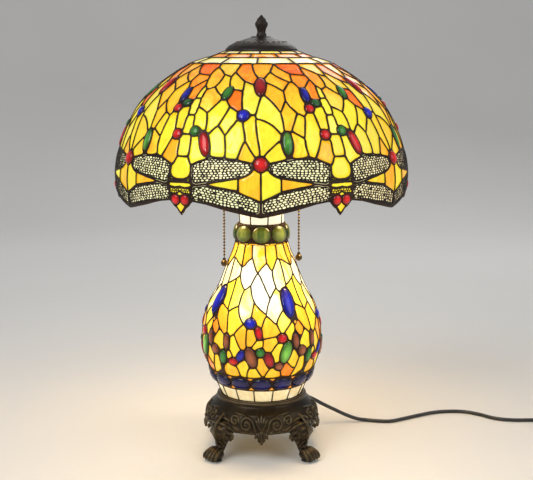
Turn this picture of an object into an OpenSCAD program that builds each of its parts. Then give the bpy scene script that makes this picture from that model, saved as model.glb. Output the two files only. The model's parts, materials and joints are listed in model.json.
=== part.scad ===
// Stained glass table lamp: leaded dome shade over a leaded glass urn,
// on a cast bronze base with four paw feet.
// Origin: on the table top, on the lamp's vertical axis. +Z up, -Y is the front.

/* [Shade] */
// Number of dragonflies around the shade
dragonflies = 6; // [6:1:6]
// Glass thickness of the shade
shade_t = 2.6; // [2.2:0.1:3]
// Angular width of a dragonfly's tail, degrees
body_deg = 4.6; // [4:0.2:5]
// Angular width of a dragonfly's thorax and head, degrees
thorax_deg = 8; // [7.8:0.2:9]
// Panes in each flat band around the crown
crown_panes = 12; // [8:1:16]
// Radius of the round jewels between the wing tips
jewel_r = 8.8; // [7:0.2:9]
// Radius of the dragonfly eyes
eye_r = 6; // [5:0.2:6.2]

/* [Urn] */
// Glass thickness of the urn
urn_t = 3; // [2.6:0.1:3.4]
// Large green cabochons around the neck
green_count = 8; // [6:1:8]
// Blue cabochons around the foot
blue_count = 15; // [12:1:15]
// White panes around the foot
foot_pane_count = 15; // [12:1:18]

/* [Base] */
// Radius of the paw foot circle
paw_R = 91; // [89:0.5:92]
// Thickness of the felt pads
pad_t = 1.5; // [1:0.5:2]
// Wall of the bronze casting
cast_t = 3; // [2.6:0.1:3.4]

/* [Pull chains] */
// Height of the centre of the left chain ball
ball_z_left = 275; // [272:1:290]
// Height of the centre of the right chain ball
ball_z_right = 283; // [272:1:290]
// Radius of a chain ball
ball_r = 4.8; // [3.5:0.1:5]

/* [Cord] */
// Diameter of the mains cord
cord_d = 5.5; // [5:0.1:5.6]

/* [Hidden] */
$fn = 72;

bronze = [0.2, 0.155, 0.1];
brass = [0.55, 0.42, 0.2];
lead = [0.13, 0.11, 0.09];
amber = [0.93, 0.62, 0.16];
cream = [0.95, 0.88, 0.68];
white_glass = [0.93, 0.92, 0.84];
black = [0.06, 0.06, 0.06];

// Outer outline of the dome: radius, height
shade_out = [[200, 360], [202, 380], [203.5, 400], [201.5, 420], [197.5, 435], [193, 449], [187.5, 462],
    [181, 476], [173, 490], [163, 503], [149.5, 516.5], [135, 528], [119, 539], [97, 551.5]];
// Unit vector from point a to point b, and the outline moved inwards by t
function uv(a, b) = (b - a) / norm(b - a);
function nrm(p, i) = let (a = p[max(0, i - 1)], b = p[min(len(p) - 1, i + 1)], u = uv(a, b)) [-u[1], u[0]];
function inset(p, t) = [for (i = [0:len(p) - 1]) p[i] + t * nrm(p, i)];
function rev(p) = [for (i = [len(p) - 1:-1:0]) p[i]];
// Height at which the wings end and the plain field of the dome begins
wing_top = 444;
// Crown bands: radius and height of each circle from the dome's top to the cap
crown = [[96, 552], [75, 559], [60, 564], [50, 567.5]];
came = 1.6;

// Outer outline of the urn
urn_out = [[75.5, 123], [79.5, 132], [82.5, 144], [84.6, 158], [84.8, 172], [83, 187], [79.3, 202], [73.8, 216.5],
    [65.8, 231], [58.4, 246], [52.8, 260], [47.2, 275], [41.2, 289], [37, 302.2]];

// Paths of the cord, from the bushing to the coil, and inside the base
cord_r = cord_d / 2;
route = [[58, 64.4, 53.5], [66, 73, 51.6], [79, 81.5, 43.5], [92, 88, 34.5], [111, 95, 23], [134, 101, 10.5], [148, 103.5, 5],
    [162, 104, 3], [184, 99, 2.8], [197, 98.5, 2.8], [222, 112, 2.8], [247, 128, 2.8], [273, 142, 2.8],
    [297, 147, 2.8], [320, 145, 2.8], [341, 133, 2.8], [361, 114, 2.8], [382, 105, 2.8], [421, 104, 2.8],
    [452, 104, 2.8]];
inner_route = [[49.2, 54.7, 55.8], [40, 44.6, 58.2], [22, 24, 57], [8, 9, 53], [0, 0, 55], [0, 0, 61.5]];
tail_route = [[488, 100.5, 6], [496, 93, 3.2], [503, 82, 2.8], [508, 68, 2.8], [509, 50, 2.8]];
coil_c = [463, 64];
coil_in = 20.4;
coil_ou = 42.8;

// A smooth curve through p, n steps for each span
function cr(p, i, t) = let (a = p[max(0, i - 1)], b = p[i], c = p[i + 1], d = p[min(len(p) - 1, i + 2)])
    0.5 * (2 * b + (c - a) * t + (2 * a - 5 * b + 4 * c - d) * t * t + (3 * b - 3 * c + d - a) * t * t * t);
function smooth(p, n) = concat([for (i = [0:len(p) - 2]) for (k = [0:n - 1]) cr(p, i, k / n)], [p[len(p) - 1]]);
function tang(p, i) = let (a = p[max(0, i - 1)], b = p[min(len(p) - 1, i + 1)]) (b - a) / norm(b - a);
function side(t) = let (s = cross([0, 0, 1], t)) norm(s) < 0.05 ? [0, -1, 0] : s / norm(s);
// A tube of radius r and m sides along the points p
module tube(p, r, m = 8) {
    n = len(p);
    pts = [for (i = [0:n - 1]) let (t = tang(p, i), s = side(t), w = cross(t, s))
        for (k = [0:m - 1]) p[i] + r * (cos(360 * k / m) * s + sin(360 * k / m) * w)];
    caps = [[for (k = [m - 1:-1:0]) k], [for (k = [0:m - 1]) (n - 1) * m + k]];
    polyhedron(pts, concat(caps, [for (i = [0:n - 2]) for (k = [0:m - 1]) let (a = i * m + k,
        b = i * m + (k + 1) % m) [a, b, b + m, a + m]]));
}

module shade_wall(a, s) {
    rotate_extrude(angle = a, start = s)
        polygon(concat(shade_out, rev(inset(shade_out, shade_t))));
}
// Everything in a height range
module slab(z0, z1) {
    translate([-260, -260, z0]) cube([520, 520, z1 - z0]);
}
// Scallops of the rim: a shallow gable under each dragonfly, lowest where two wing tips meet
module scallops(grow = 0) {
    for (i = [0:dragonflies - 1]) rotate([0, 0, -60 + 60 * i]) translate([140, 0, 0])
        rotate([90, 0, 90]) linear_extrude(height = 100) polygon([[-112, 365.5 + grow], [-101, 366 + grow],
            [-58, 375 + grow], [-26, 382.5 + grow], [0, 384.5 + grow], [26, 382.5 + grow], [58, 375 + grow],
            [101, 366 + grow], [112, 365.5 + grow], [112, 330], [-112, 330]]);
}
// Puts a child that faces +X on the dome at azimuth a, with its own tilt
module on_dome(a, r, z, tilt) {
    rotate([0, 0, a]) translate([r, 0, z]) rotate([0, -tilt, 0]) children();
}
// A cabochon: a round stone with a straight edge and a domed face, facing +X
module cabochon(r, edge, dome) {
    rotate([0, 90, 0]) rotate_extrude() polygon([[0, -edge], [r, -edge], [r, 0], [r * 0.92, dome * 0.45],
        [r * 0.72, dome * 0.76], [r * 0.4, dome * 0.95], [0, dome]]);
}

// ---- Base
module foot_pads() {
    color("dimgray") for (a = [45:90:315]) rotate([0, 0, a]) translate([paw_R, 0, 0]) cylinder(r = 8.5, h = pad_t);
}
module cast_solid() {
    rotate_extrude() polygon([[0, 42], [79.5, 42], [80, 50], [78, 58.5], [73, 67], [66, 73], [63, 76],
        [63.4, 80], [61.5, 82.2], [0, 82.2]]);
}
module paw() {
    difference() {
        union() {
            cylinder(r1 = 10.8, r2 = 10, h = 6);
            translate([0, 0, 6.5]) sphere(r = 10);
            for (a = [-40, -13, 13, 40]) rotate([0, 0, a]) translate([8.6, 0, 4.2]) sphere(r = 4.2);
            translate([-12, 0, 1.5]) cylinder(r1 = 6, r2 = 9, h = 12);
            translate([-12, 0, 13.5]) cylinder(r1 = 9, r2 = 12, h = 31);
        }
        translate([-30, -30, -20]) cube([60, 60, 20]);
    }
}
module paw_feet() {
    color(bronze) difference() {
        for (a = [45:90:315]) rotate([0, 0, a]) translate([paw_R, 0, pad_t]) paw();
        cast_solid();
        cylinder(r = 76, h = 60);
    }
}
module base_casting() {
    color(bronze) difference() {
        cast_solid();
        rotate_extrude() polygon([[0, 41], [79.5 - cast_t, 41], [80 - cast_t, 50], [78 - cast_t, 57.5],
            [72.5 - cast_t, 65.5], [65.5 - cast_t, 71], [60 - cast_t, 75.5], [60 - cast_t, 78], [0, 78]]);
        translate([0, 0, 60]) cylinder(r = 5.2, h = 30);
        rotate([0, 0, 48]) translate([50, 0, 60]) rotate([0, 100, 0]) cylinder(r = 5, h = 60);
    }
}
// Leaf drops that hang from the lower edge of the casting, midway between the feet
module base_drops() {
    color(bronze) for (a = [0:90:270]) rotate([0, 0, a]) translate([76.5, 0, 0]) rotate([90, 0, 90])
        linear_extrude(height = 3.4) polygon([[-15, 41.9], [15, 41.9], [13, 38], [8, 35.5], [5, 31], [2.6, 28],
            [0, 26.5], [-2.6, 28], [-5, 31], [-8, 35.5], [-13, 38]]);
}
module rod_washer() {
    color("silver") translate([0, 0, 76.2]) difference() {
        cylinder(r = 16, h = 1.8);
        translate([0, 0, -1]) cylinder(r = 5.2, h = 4);
    }
}
module rod_nut() {
    color("silver") translate([0, 0, 70.2]) difference() {
        cylinder(r = 9.2, h = 6, $fn = 6);
        translate([0, 0, -1]) cylinder(r = 5.05, h = 8);
    }
}
// Rubber bushing in the casting's wall, with a tapered strain relief outside
module cord_bushing() {
    color(black) rotate([0, 0, 48]) translate([50, 0, 60]) rotate([0, 100, 0]) difference() {
        union() {
            translate([0, 0, 19]) cylinder(r = 4.9, h = 16);
            translate([0, 0, 29.6]) cylinder(r1 = 5.6, r2 = 4, h = 20.4);
            translate([0, 0, 18]) cylinder(r = 6.4, h = 3);
        }
        translate([0, 0, 0]) cylinder(r = cord_r, h = 60);
        difference() {
            translate([0, 0, 24.5]) cylinder(r = 8, h = 5.1);
            cylinder(r = 4.9, h = 60);
        }
    }
}

// ---- Column and urn
module lamp_rod() {
    color(brass) translate([0, 0, 62]) difference() {
        cylinder(r = 5, h = 490);
        translate([0, 0, -1]) cylinder(r = 3.6, h = 492);
    }
}
module ring(r0, r1, z0, z1) {
    rotate_extrude() polygon([[r0, z0], [r1, z0], [r1, z1], [r0, z1]]);
}
module urn_lead_rings() {
    color(lead) {
        ring(54, 59, 82.2, 84);
        ring(61.5, 66.4, 100.4, 102);
        ring(72, 77, 121.4, 123);
        ring(33, 38.2, 302.2, 303.8);
        ring(28.8, 33.6, 328, 329.6);
    }
}
module urn_foot_panes() {
    color(white_glass) for (i = [0:foot_pane_count - 1])
        rotate_extrude(angle = 360 / foot_pane_count - 1, start = 360 / foot_pane_count * i - 90 + 6.5)
            polygon([[57.5, 84], [65, 100.4], [65 - urn_t, 100.4], [57.5 - urn_t, 84]]);
}
module blue_stone(extra = 0) {
    for (i = [0:blue_count - 1]) on_dome(-90 + 360 / blue_count * i, 71, 111.7, -25)
        if (extra > 0) translate([-20, 0, 0]) rotate([0, 90, 0]) cylinder(r = 8.8 + extra, h = 40);
        else cabochon(8.8, 3, 5);
}
module urn_blue_cabochons() { color([0.04, 0.06, 0.45]) blue_stone(); }
module urn_blue_ring() {
    color(lead) difference() {
        rotate_extrude() polygon([[66, 102], [75.8, 121.4], [75.8 - urn_t, 121.4], [66 - urn_t, 102]]);
        blue_stone(0.1);
    }
}
module urn_glass() {
    color(cream) rotate_extrude() polygon(concat(urn_out, rev(inset(urn_out, urn_t))));
}
module green_stone(extra = 0) {
    for (i = [0:green_count - 1]) on_dome(-90 + 360 / green_count * i, 35, 315.8, 6)
        if (extra > 0) translate([-14, 0, 0]) rotate([0, 90, 0]) cylinder(r = 10.8 + extra, h = 30);
        else cabochon(10.8, 3, 4.5);
}
module urn_green_cabochons() { color([0.03, 0.3, 0.16]) green_stone(); }
module urn_green_ring() {
    color(lead) difference() {
        rotate_extrude() polygon([[36.6, 303.8], [33.2, 328], [33.2 - urn_t, 328], [36.6 - urn_t, 303.8]]);
        green_stone(0.1);
    }
}
module urn_neck_panes() {
    color(white_glass) for (i = [0:green_count - 1])
        rotate_extrude(angle = 360 / green_count - 2, start = 360 / green_count * (i + 0.5) - 89)
            polygon([[31.6, 329.6], [32.6, 352], [32.6 - urn_t, 352], [31.6 - urn_t, 329.6]]);
}
module urn_neck_cap() {
    color(bronze) difference() {
        rotate_extrude() polygon([[5.1, 352], [34, 352], [34.6, 354], [31, 357.5], [16, 362], [9, 366], [5.1, 366]]);
    }
}
module night_light_bracket() {
    color("silver") difference() {
        union() {
            translate([0, 0, 130]) cylinder(r = 9, h = 8);
            translate([0, -6, 130]) cube([34, 12, 2.5]);
        }
        translate([0, 0, 120]) cylinder(r = 5.02, h = 30);
        translate([24, 0, 120]) cylinder(r = 4.5, h = 30);
    }
}
module night_light_socket() {
    color("ivory") translate([24, 0, 0]) difference() {
        union() {
            translate([0, 0, 132.5]) cylinder(r = 9, h = 26);
            translate([0, 0, 126]) cylinder(r = 4.4, h = 8);
        }
        translate([0, 0, 136]) cylinder(r = 6.5, h = 30);
    }
}
module night_light_bulb() {
    color([1, 0.95, 0.8]) translate([24, 0, 0]) rotate_extrude() polygon([[0, 137.5], [4, 137.5], [6.2, 139.5],
        [6.2, 159.5], [8, 164], [10.5, 172], [11.5, 180], [11, 190], [8.8, 199], [5, 206.5], [2, 209.5], [0, 210]]);
}

// ---- Light cluster
cz = 474;
module cluster_body() {
    color(brass) difference() {
        rotate_extrude() polygon([[0, 458], [7, 458], [10, 461], [15, 463], [17, 466], [17, 482], [15, 485],
            [10, 487], [7, 491], [0, 491]]);
        cylinder(r = 5.02, h = 600);
    }
}
// Socket shell, hollow, opening towards +X, with the chain arm on the front side
module socket_shell(s) {
    translate([0, 0, cz]) {
        difference() {
            union() {
                rotate([0, 90, 0]) rotate_extrude() polygon([[0, 17.2], [8, 17.2], [11, 20], [15, 25], [16.6, 31],
                    [16.6, 66], [15.6, 68], [0, 68]]);
                translate([52, -15.6, 0]) rotate([90, 0, 0]) cylinder(r = 3.4, h = 11);
                translate([52, -26, -8]) cylinder(r1 = 4.2, r2 = 3.6, h = 8);
                translate([52, -26, 0]) sphere(r = 3.6);
            }
            rotate([0, 90, 0]) translate([0, 0, 28]) cylinder(r = 15.4, h = 50);
            translate([52, -26, -20]) cylinder(r = 2.2, h = 21);
        }
    }
}
module socket_shell_right() { color(brass) socket_shell(1); }
module socket_shell_left() { color(brass) mirror([1, 0, 0]) socket_shell(-1); }
module socket_insert() {
    translate([0, 0, cz]) rotate([0, 90, 0]) translate([0, 0, 28]) difference() {
        cylinder(r = 15.4, h = 39);
        translate([0, 0, 8]) cylinder(r = 13.3, h = 50);
    }
}
module socket_insert_right() { color("ivory") socket_insert(); }
module socket_insert_left() { color("ivory") mirror([1, 0, 0]) socket_insert(); }
module bulb_base() {
    translate([0, 0, cz]) rotate([0, 90, 0]) rotate_extrude() polygon([[0, 37], [5, 37], [6, 39], [12, 42], [13, 43],
        [13, 66], [12.6, 67], [0, 67]]);
}
module bulb_glass() {
    translate([0, 0, cz]) rotate([0, 90, 0]) rotate_extrude() polygon([[0, 67], [12.6, 67], [14.2, 72], [16.5, 79],
        [20, 87], [24.5, 95], [28, 103], [29.8, 112], [29.8, 120], [28, 129], [24, 137], [18, 143.5], [10, 148],
        [0, 150]]);
}
module bulb_base_right() { color("silver") bulb_base(); }
module bulb_base_left() { color("silver") mirror([1, 0, 0]) bulb_base(); }
module bulb_glass_right() { color([1, 0.95, 0.8]) bulb_glass(); }
module bulb_glass_left() { color([1, 0.95, 0.8]) mirror([1, 0, 0]) bulb_glass(); }

// Switch wire with its bell-shaped coupling
module pull_wire() {
    translate([52, -26, 0]) {
        translate([0, 0, 452]) cylinder(r = 0.8, h = 20);
        rotate_extrude() polygon([[0, 448], [2, 448], [2.3, 449], [1.4, 453], [0, 453.5]]);
    }
}
module pull_wire_right() { color(brass) pull_wire(); }
module pull_wire_left() { color(brass) mirror([1, 0, 0]) pull_wire(); }
bead_pitch = 4.4;
// Bead chain from the coupling down to its ball
module bead_chain(bz) {
    n = floor((445.5 - (bz + ball_r + 4)) / bead_pitch);
    translate([52, -26, 0]) {
        for (i = [0:n]) translate([0, 0, 445.5 - i * bead_pitch]) sphere(r = 1.65, $fn = 24);
        translate([0, 0, bz]) cylinder(r = 0.55, h = 445.5 - bz, $fn = 16);
        translate([0, 0, bz + ball_r - 0.8]) cylinder(r1 = 2.6, r2 = 1.9, h = 3.6, $fn = 32);
        translate([0, 0, bz]) sphere(r = ball_r, $fn = 48);
    }
}
module pull_chain_right() { color(brass) bead_chain(ball_z_right); }
module pull_chain_left() { color(brass) mirror([1, 0, 0]) bead_chain(ball_z_left); }

// ---- Top of the column
module shade_riser() {
    color(brass) union() {
        translate([0, 0, 552]) cylinder(r = 7.5, h = 8);
        translate([0, 0, 559]) cylinder(r = 3.1, h = 42);
        translate([0, 0, 545]) cylinder(r = 3.55, h = 8);
    }
}
module shade_spider() {
    color(brass) difference() {
        union() {
            translate([0, 0, 560.1]) cylinder(r = 11, h = 4);
            for (a = [0:60:120]) rotate([0, 0, a]) translate([-47, -2.5, 560.1]) cube([94, 5, 3]);
            rotate_extrude() polygon([[45, 560.1], [47.4, 560.1], [47.4, 567], [45, 567]]);
        }
        translate([0, 0, 550]) cylinder(r = 3.4, h = 30);
    }
}
module crown_ring(i, w) {
    p = crown[i];
    ring(p[0] - w / 2 - 1, p[0] + w / 2, p[1] - 2.2, p[1] + 0.6);
}
module shade_lead_rings() {
    color(lead) {
        for (i = [0:2]) crown_ring(i, came);
        ring(47.5, 50.6, 564.6, 567.8);
    }
}
module crown_band(i, d) {
    a = crown[i] - [came / 2 + 1.2, 0];
    b = crown[i + 1] + [came / 2 + 0.2, 0];
    for (k = [0:crown_panes - 1]) rotate_extrude(angle = 360 / crown_panes - d, start = 360 / crown_panes * k - 90)
        polygon([a, b, b - [0, 2], a - [0, 2]]);
}
module shade_white_band() { color(white_glass) crown_band(0, 0.7); }
module shade_amber_band() { color([0.95, 0.72, 0.2]) crown_band(1, 0.9); }
module shade_thin_band() { color(white_glass) crown_band(2, 1.1); }

// ---- Dome glass
gap_deg = 0.2;
module shade_field_glass() {
    color(amber) intersection() {
        for (i = [0:dragonflies - 1])
            shade_wall(60 - body_deg - 2 * gap_deg, -120 + 60 * i + body_deg / 2 + gap_deg);
        slab(wing_top + 0.3, 549.8);
    }
}
module wing_jewel(extra = 0) {
    for (i = [0:dragonflies - 1]) on_dome(-90 + 60 * i, 199.5, 431.4, 17)
        if (extra > 0) translate([-14, 0, 0]) rotate([0, 90, 0]) cylinder(r = jewel_r + extra, h = 30);
        else cabochon(jewel_r, 2.6, 4);
}
module eyes(extra = 0) {
    for (i = [0:dragonflies - 1]) for (s = [-1, 1]) on_dome(-60 + 60 * i + s * 1.95, 201.4, 383.6, -5)
        if (extra > 0) translate([-14, 0, 0]) rotate([0, 90, 0]) cylinder(r = eye_r + extra, h = 30);
        else cabochon(eye_r, 2.6, 2.6);
}
module shade_wing_panels() {
    color(cream) difference() {
        intersection() {
            for (i = [0:dragonflies - 1])
                shade_wall(60 - thorax_deg - 2 * gap_deg, -120 + 60 * i + thorax_deg / 2 + gap_deg);
            slab(361, wing_top);
        }
        scallops(1.6);
        wing_jewel(0.1);
    }
}
// Outline that trims a body to its pointed jaw piece
module jaw_trim() {
    for (i = [0:dragonflies - 1]) rotate([0, 0, -60 + 60 * i]) translate([140, 0, 0])
        rotate([90, 0, 90]) linear_extrude(height = 100) polygon([[-30, 384], [-14.5, 382], [-11, 377.5],
            [-6.5, 375.5], [0, 369], [6.5, 375.5], [11, 377.5], [14.5, 382], [30, 384], [30, 330], [-30, 330]]);
}
module dragonfly_bodies() {
    color([0.85, 0.75, 0.3]) difference() {
        union() {
            intersection() {
                for (i = [0:dragonflies - 1]) shade_wall(body_deg, -60 + 60 * i - body_deg / 2);
                slab(wing_top, 549.8);
            }
            intersection() {
                for (i = [0:dragonflies - 1]) shade_wall(thorax_deg, -60 + 60 * i - thorax_deg / 2);
                slab(361, wing_top);
            }
        }
        jaw_trim();
        eyes(0.1);
    }
}
module dragonfly_eyes() { color([0.45, 0.02, 0.02]) eyes(); }
module wingtip_jewels() { color([0.5, 0.02, 0.02]) wing_jewel(); }
// Wire soldered along the scalloped rim
module shade_rim_came() {
    color(lead) intersection() {
        difference() {
            for (i = [0:dragonflies - 1])
                shade_wall(60 - thorax_deg - 2 * gap_deg, -120 + 60 * i + thorax_deg / 2 + gap_deg);
            scallops(0);
        }
        slab(361, 400);
        scallops(1.5);
    }
}

// ---- Cap and finial
module heat_cap() {
    color(bronze) difference() {
        rotate_extrude() polygon([[3.5, 588], [12, 588], [16, 586], [27, 582.4], [38, 578.6], [45, 574.8],
            [49.4, 570.4], [50.2, 568], [48.6, 568], [47.9, 570], [44, 573.6], [37.4, 577.2], [26.6, 581],
            [15.6, 584.6], [11.8, 586.4], [3.5, 586.4]]);
        for (a = [0:15:345]) rotate([0, 0, a]) translate([34, 0, 570]) cylinder(r = 1.5, h = 20, $fn = 24);
    }
}
module finial() {
    color(bronze) difference() {
        rotate_extrude() polygon([[0, 588.1], [6.4, 588.1], [6.8, 589.4], [6.2, 591], [4.9, 592.6], [4.7, 594.8],
            [5.6, 596.4], [7.4, 599.4], [8.3, 602.6], [8.3, 605.4], [7.3, 608.6], [5.2, 611.4], [3, 613.4],
            [1.7, 615.2], [0.9, 616.6], [0, 617]]);
        translate([0, 0, 580]) cylinder(r = 3.16, h = 21.6);
    }
}

// ---- Mains cord
module cord_inner() { color(black) tube(smooth(inner_route, 4), cord_r); }
module cord_run() { color(black) tube(smooth(route, 3), cord_r); }
module cord_coil() {
    color(black) translate([coil_c[0], coil_c[1], 0]) rotate_extrude() polygon([[coil_in, 2], [coil_in + 2, 0],
        [coil_ou - 2, 0], [coil_ou, 2], [coil_ou, 9.2], [coil_ou - 2, 11.2], [coil_in + 2, 11.2], [coil_in, 9.2]]);
}
module cord_tail() { color(black) tube(smooth(tail_route, 3), cord_r); }
module cord_tie() {
    color("dimgray") translate([coil_c[0] - 5, coil_c[1], 0]) rotate([90, 0, 90]) linear_extrude(height = 10)
        difference() {
            translate([-44, 0]) square([25, 12.4]);
            translate([-42.9, 1]) square([22.8, 10.3]);
        }
}
module plug_body() {
    color(black) translate([509, 50, 0]) rotate([90, 0, 0]) {
        linear_extrude(height = 14) translate([-6, 0]) square([12, 9]);
        translate([0, 0, 14]) linear_extrude(height = 20)
            polygon([[-12, 1], [-11, 0], [11, 0], [12, 1], [12, 12], [10, 14], [-10, 14], [-12, 12]]);
    }
}
module plug_pins() {
    color("silver") for (x = [-6.35, 6.35]) translate([509 + x - 0.75, -1, 3.8]) cube([1.5, 17, 6.4]);
}

foot_pads();
paw_feet();
base_casting();
base_drops();
rod_washer();
rod_nut();
cord_bushing();
lamp_rod();
urn_lead_rings();
urn_foot_panes();
urn_blue_cabochons();
urn_blue_ring();
urn_glass();
urn_green_cabochons();
urn_green_ring();
urn_neck_panes();
urn_neck_cap();
night_light_bracket();
night_light_socket();
night_light_bulb();
cluster_body();
socket_shell_left();
socket_shell_right();
socket_insert_left();
socket_insert_right();
bulb_base_left();
bulb_base_right();
bulb_glass_left();
bulb_glass_right();
pull_wire_left();
pull_wire_right();
pull_chain_left();
pull_chain_right();
shade_riser();
shade_spider();
shade_lead_rings();
shade_thin_band();
shade_amber_band();
shade_white_band();
shade_field_glass();
shade_wing_panels();
dragonfly_bodies();
dragonfly_eyes();
wingtip_jewels();
shade_rim_came();
heat_cap();
finial();
cord_inner();
cord_run();
cord_coil();
cord_tail();
cord_tie();
plug_body();
plug_pins();
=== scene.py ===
import bpy
import json
import math
import random
import numpy as np
from mathutils import Vector, Matrix

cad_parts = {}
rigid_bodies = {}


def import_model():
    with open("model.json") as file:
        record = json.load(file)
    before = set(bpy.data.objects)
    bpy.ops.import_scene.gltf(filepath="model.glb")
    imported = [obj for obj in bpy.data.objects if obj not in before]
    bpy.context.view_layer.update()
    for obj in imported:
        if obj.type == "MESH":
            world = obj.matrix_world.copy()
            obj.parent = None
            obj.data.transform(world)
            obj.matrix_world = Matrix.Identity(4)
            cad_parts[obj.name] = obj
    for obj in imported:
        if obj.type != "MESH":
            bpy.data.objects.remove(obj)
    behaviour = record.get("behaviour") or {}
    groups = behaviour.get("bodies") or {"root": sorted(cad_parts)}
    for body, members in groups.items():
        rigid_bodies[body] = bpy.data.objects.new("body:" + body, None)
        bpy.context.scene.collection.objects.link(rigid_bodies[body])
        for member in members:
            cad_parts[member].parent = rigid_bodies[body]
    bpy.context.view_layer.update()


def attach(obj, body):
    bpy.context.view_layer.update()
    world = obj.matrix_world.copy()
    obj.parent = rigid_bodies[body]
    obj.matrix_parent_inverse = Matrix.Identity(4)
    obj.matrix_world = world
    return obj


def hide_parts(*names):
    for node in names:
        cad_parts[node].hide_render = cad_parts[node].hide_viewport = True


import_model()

MM = 0.001
scene = bpy.context.scene
scene.view_settings.view_transform = "Standard"


# ---------------------------------------------------------------- camera and cord
cam = bpy.data.cameras.new("camera")
cam.lens = 77.17
cam.sensor_width = 36.0
cam_ob = bpy.data.objects.new("camera", cam)
cam_ob.location = (0.007, -1.598, 0.5716)
cam_ob.rotation_euler = (math.radians(80.47), 0.0, 0.0)
scene.collection.objects.link(cam_ob)
scene.camera = cam_ob


def cord_points():
    p = [(66.4, 73.7, 51.3), (79, 81.5, 43.5), (92, 88, 34.5), (111, 95, 23), (134, 101, 10.5), (148, 103.5, 5),
         (162, 104, 3), (184, 99, 2.8), (197, 98.5, 2.8), (222, 112, 2.8), (247, 128, 2.8), (273, 142, 2.8),
         (297, 147, 2.8), (320, 145, 2.8), (341, 133, 2.8), (361, 114, 2.8), (382, 105, 2.8), (421, 104, 2.8),
         (446, 104, 2.8)]
    n = 18
    for k in range(int(6.25 * n) + 1):
        t = k / n
        if t <= 3:
            r, z = 40 - 5.6 * t, 2.8
        elif t <= 3.15:
            r, z = 23.2, 2.8 + (t - 3) / 0.15 * 5.6
        elif t <= 6.0:
            r, z = 23.2 + 5.6 * (t - 3.15), 8.4
        else:
            u = (t - 6.0) / 0.25
            r, z = 39.2 + 6.8 * u, 8.4 - 5.6 * (3 * u * u - 2 * u ** 3)
        a = math.radians(90 - 360 * t)
        p.append((463 + r * math.cos(a), 64 + r * math.sin(a), z))
    p += [(509, 56, 2.8), (509, 49, 3.4)]
    return p


cv = bpy.data.curves.new("mains_cord", "CURVE")
cv.dimensions = "3D"
cv.bevel_depth = 1.0
cv.bevel_resolution = 4
cv.resolution_u = 5
cv.use_fill_caps = True
sp = cv.splines.new("BEZIER")
pts = cord_points()
sp.bezier_points.add(len(pts) - 1)
for i, (b, q) in enumerate(zip(sp.bezier_points, pts)):
    q0, q2 = Vector(pts[max(i - 1, 0)]), Vector(pts[min(i + 1, len(pts) - 1)])
    q = Vector(q)
    la, lb = (q - q0).length, (q2 - q).length
    tv = (q - q0) / max(la, 1e-6) + (q2 - q) / max(lb, 1e-6)
    tv.normalize()
    b.handle_left_type = b.handle_right_type = "FREE"
    b.co = q * MM
    b.radius = 2.75 * MM
    b.handle_left = (q - tv * (la or lb) / 2.6) * MM
    b.handle_right = (q + tv * (lb or la) / 2.6) * MM
cord = bpy.data.objects.new("mains_cord", cv)
scene.collection.objects.link(cord)
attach(cord, "stand")
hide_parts("cord_run", "cord_coil", "cord_tail")


# ---------------------------------------------------------------- materials
def nodes_of(name):
    m = bpy.data.materials.new(name)
    m.use_nodes = True
    nt = m.node_tree
    for n in list(nt.nodes):
        nt.nodes.remove(n)
    out = nt.nodes.new("ShaderNodeOutputMaterial")
    p = nt.nodes.new("ShaderNodeBsdfPrincipled")
    nt.links.new(p.outputs[0], out.inputs[0])
    return m, nt, p


def noise(nt, scale, detail=3.0, rough=0.5, distort=0.0, vec=None):
    if vec is None:
        tc = nt.nodes.new("ShaderNodeTexCoord")
        vec = tc.outputs["Object"]
    n = nt.nodes.new("ShaderNodeTexNoise")
    n.inputs["Scale"].default_value = scale
    n.inputs["Detail"].default_value = detail
    n.inputs["Roughness"].default_value = rough
    n.inputs["Distortion"].default_value = distort
    nt.links.new(vec, n.inputs["Vector"])
    return n


def ramp(nt, fac, stops):
    r = nt.nodes.new("ShaderNodeValToRGB")
    e = r.color_ramp.elements
    while len(e) < len(stops):
        e.new(0.5)
    for k, (p, c) in enumerate(stops):
        e[k].position = p
        e[k].color = (*c, 1.0) if len(c) == 3 else c
    nt.links.new(fac, r.inputs[0])
    return r


def bump(nt, p, fac, strength, dist):
    b = nt.nodes.new("ShaderNodeBump")
    b.inputs["Strength"].default_value = strength
    b.inputs["Distance"].default_value = dist
    nt.links.new(fac, b.inputs["Height"])
    nt.links.new(b.outputs[0], p.inputs["Normal"])


def plain(name, c1, c2, rough, metal=0.0, scale=60.0, bump_d=0.0, bump_s=0.3, coat=0.0, emit=None, emit_s=0.0,
          bscale=None, mid=(0.35, 0.65)):
    m, nt, p = nodes_of(name)
    n = noise(nt, scale, 4.0)
    r = ramp(nt, n.outputs["Fac"], [(mid[0], c1), (mid[1], c2)])
    nt.links.new(r.outputs[0], p.inputs["Base Color"])
    p.inputs["Roughness"].default_value = rough
    p.inputs["Metallic"].default_value = metal
    p.inputs["Coat Weight"].default_value = coat
    p.inputs["Coat Roughness"].default_value = 0.08
    if bump_d:
        b = noise(nt, bscale or scale * 4, 3.0)
        bump(nt, p, b.outputs["Fac"], bump_s, bump_d)
    if emit:
        e = ramp(nt, n.outputs["Fac"], [(0.3, [x * 0.92 for x in emit]), (0.7, emit)])
        nt.links.new(e.outputs[0], p.inputs["Emission Color"])
        p.inputs["Emission Strength"].default_value = emit_s
    return m


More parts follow.
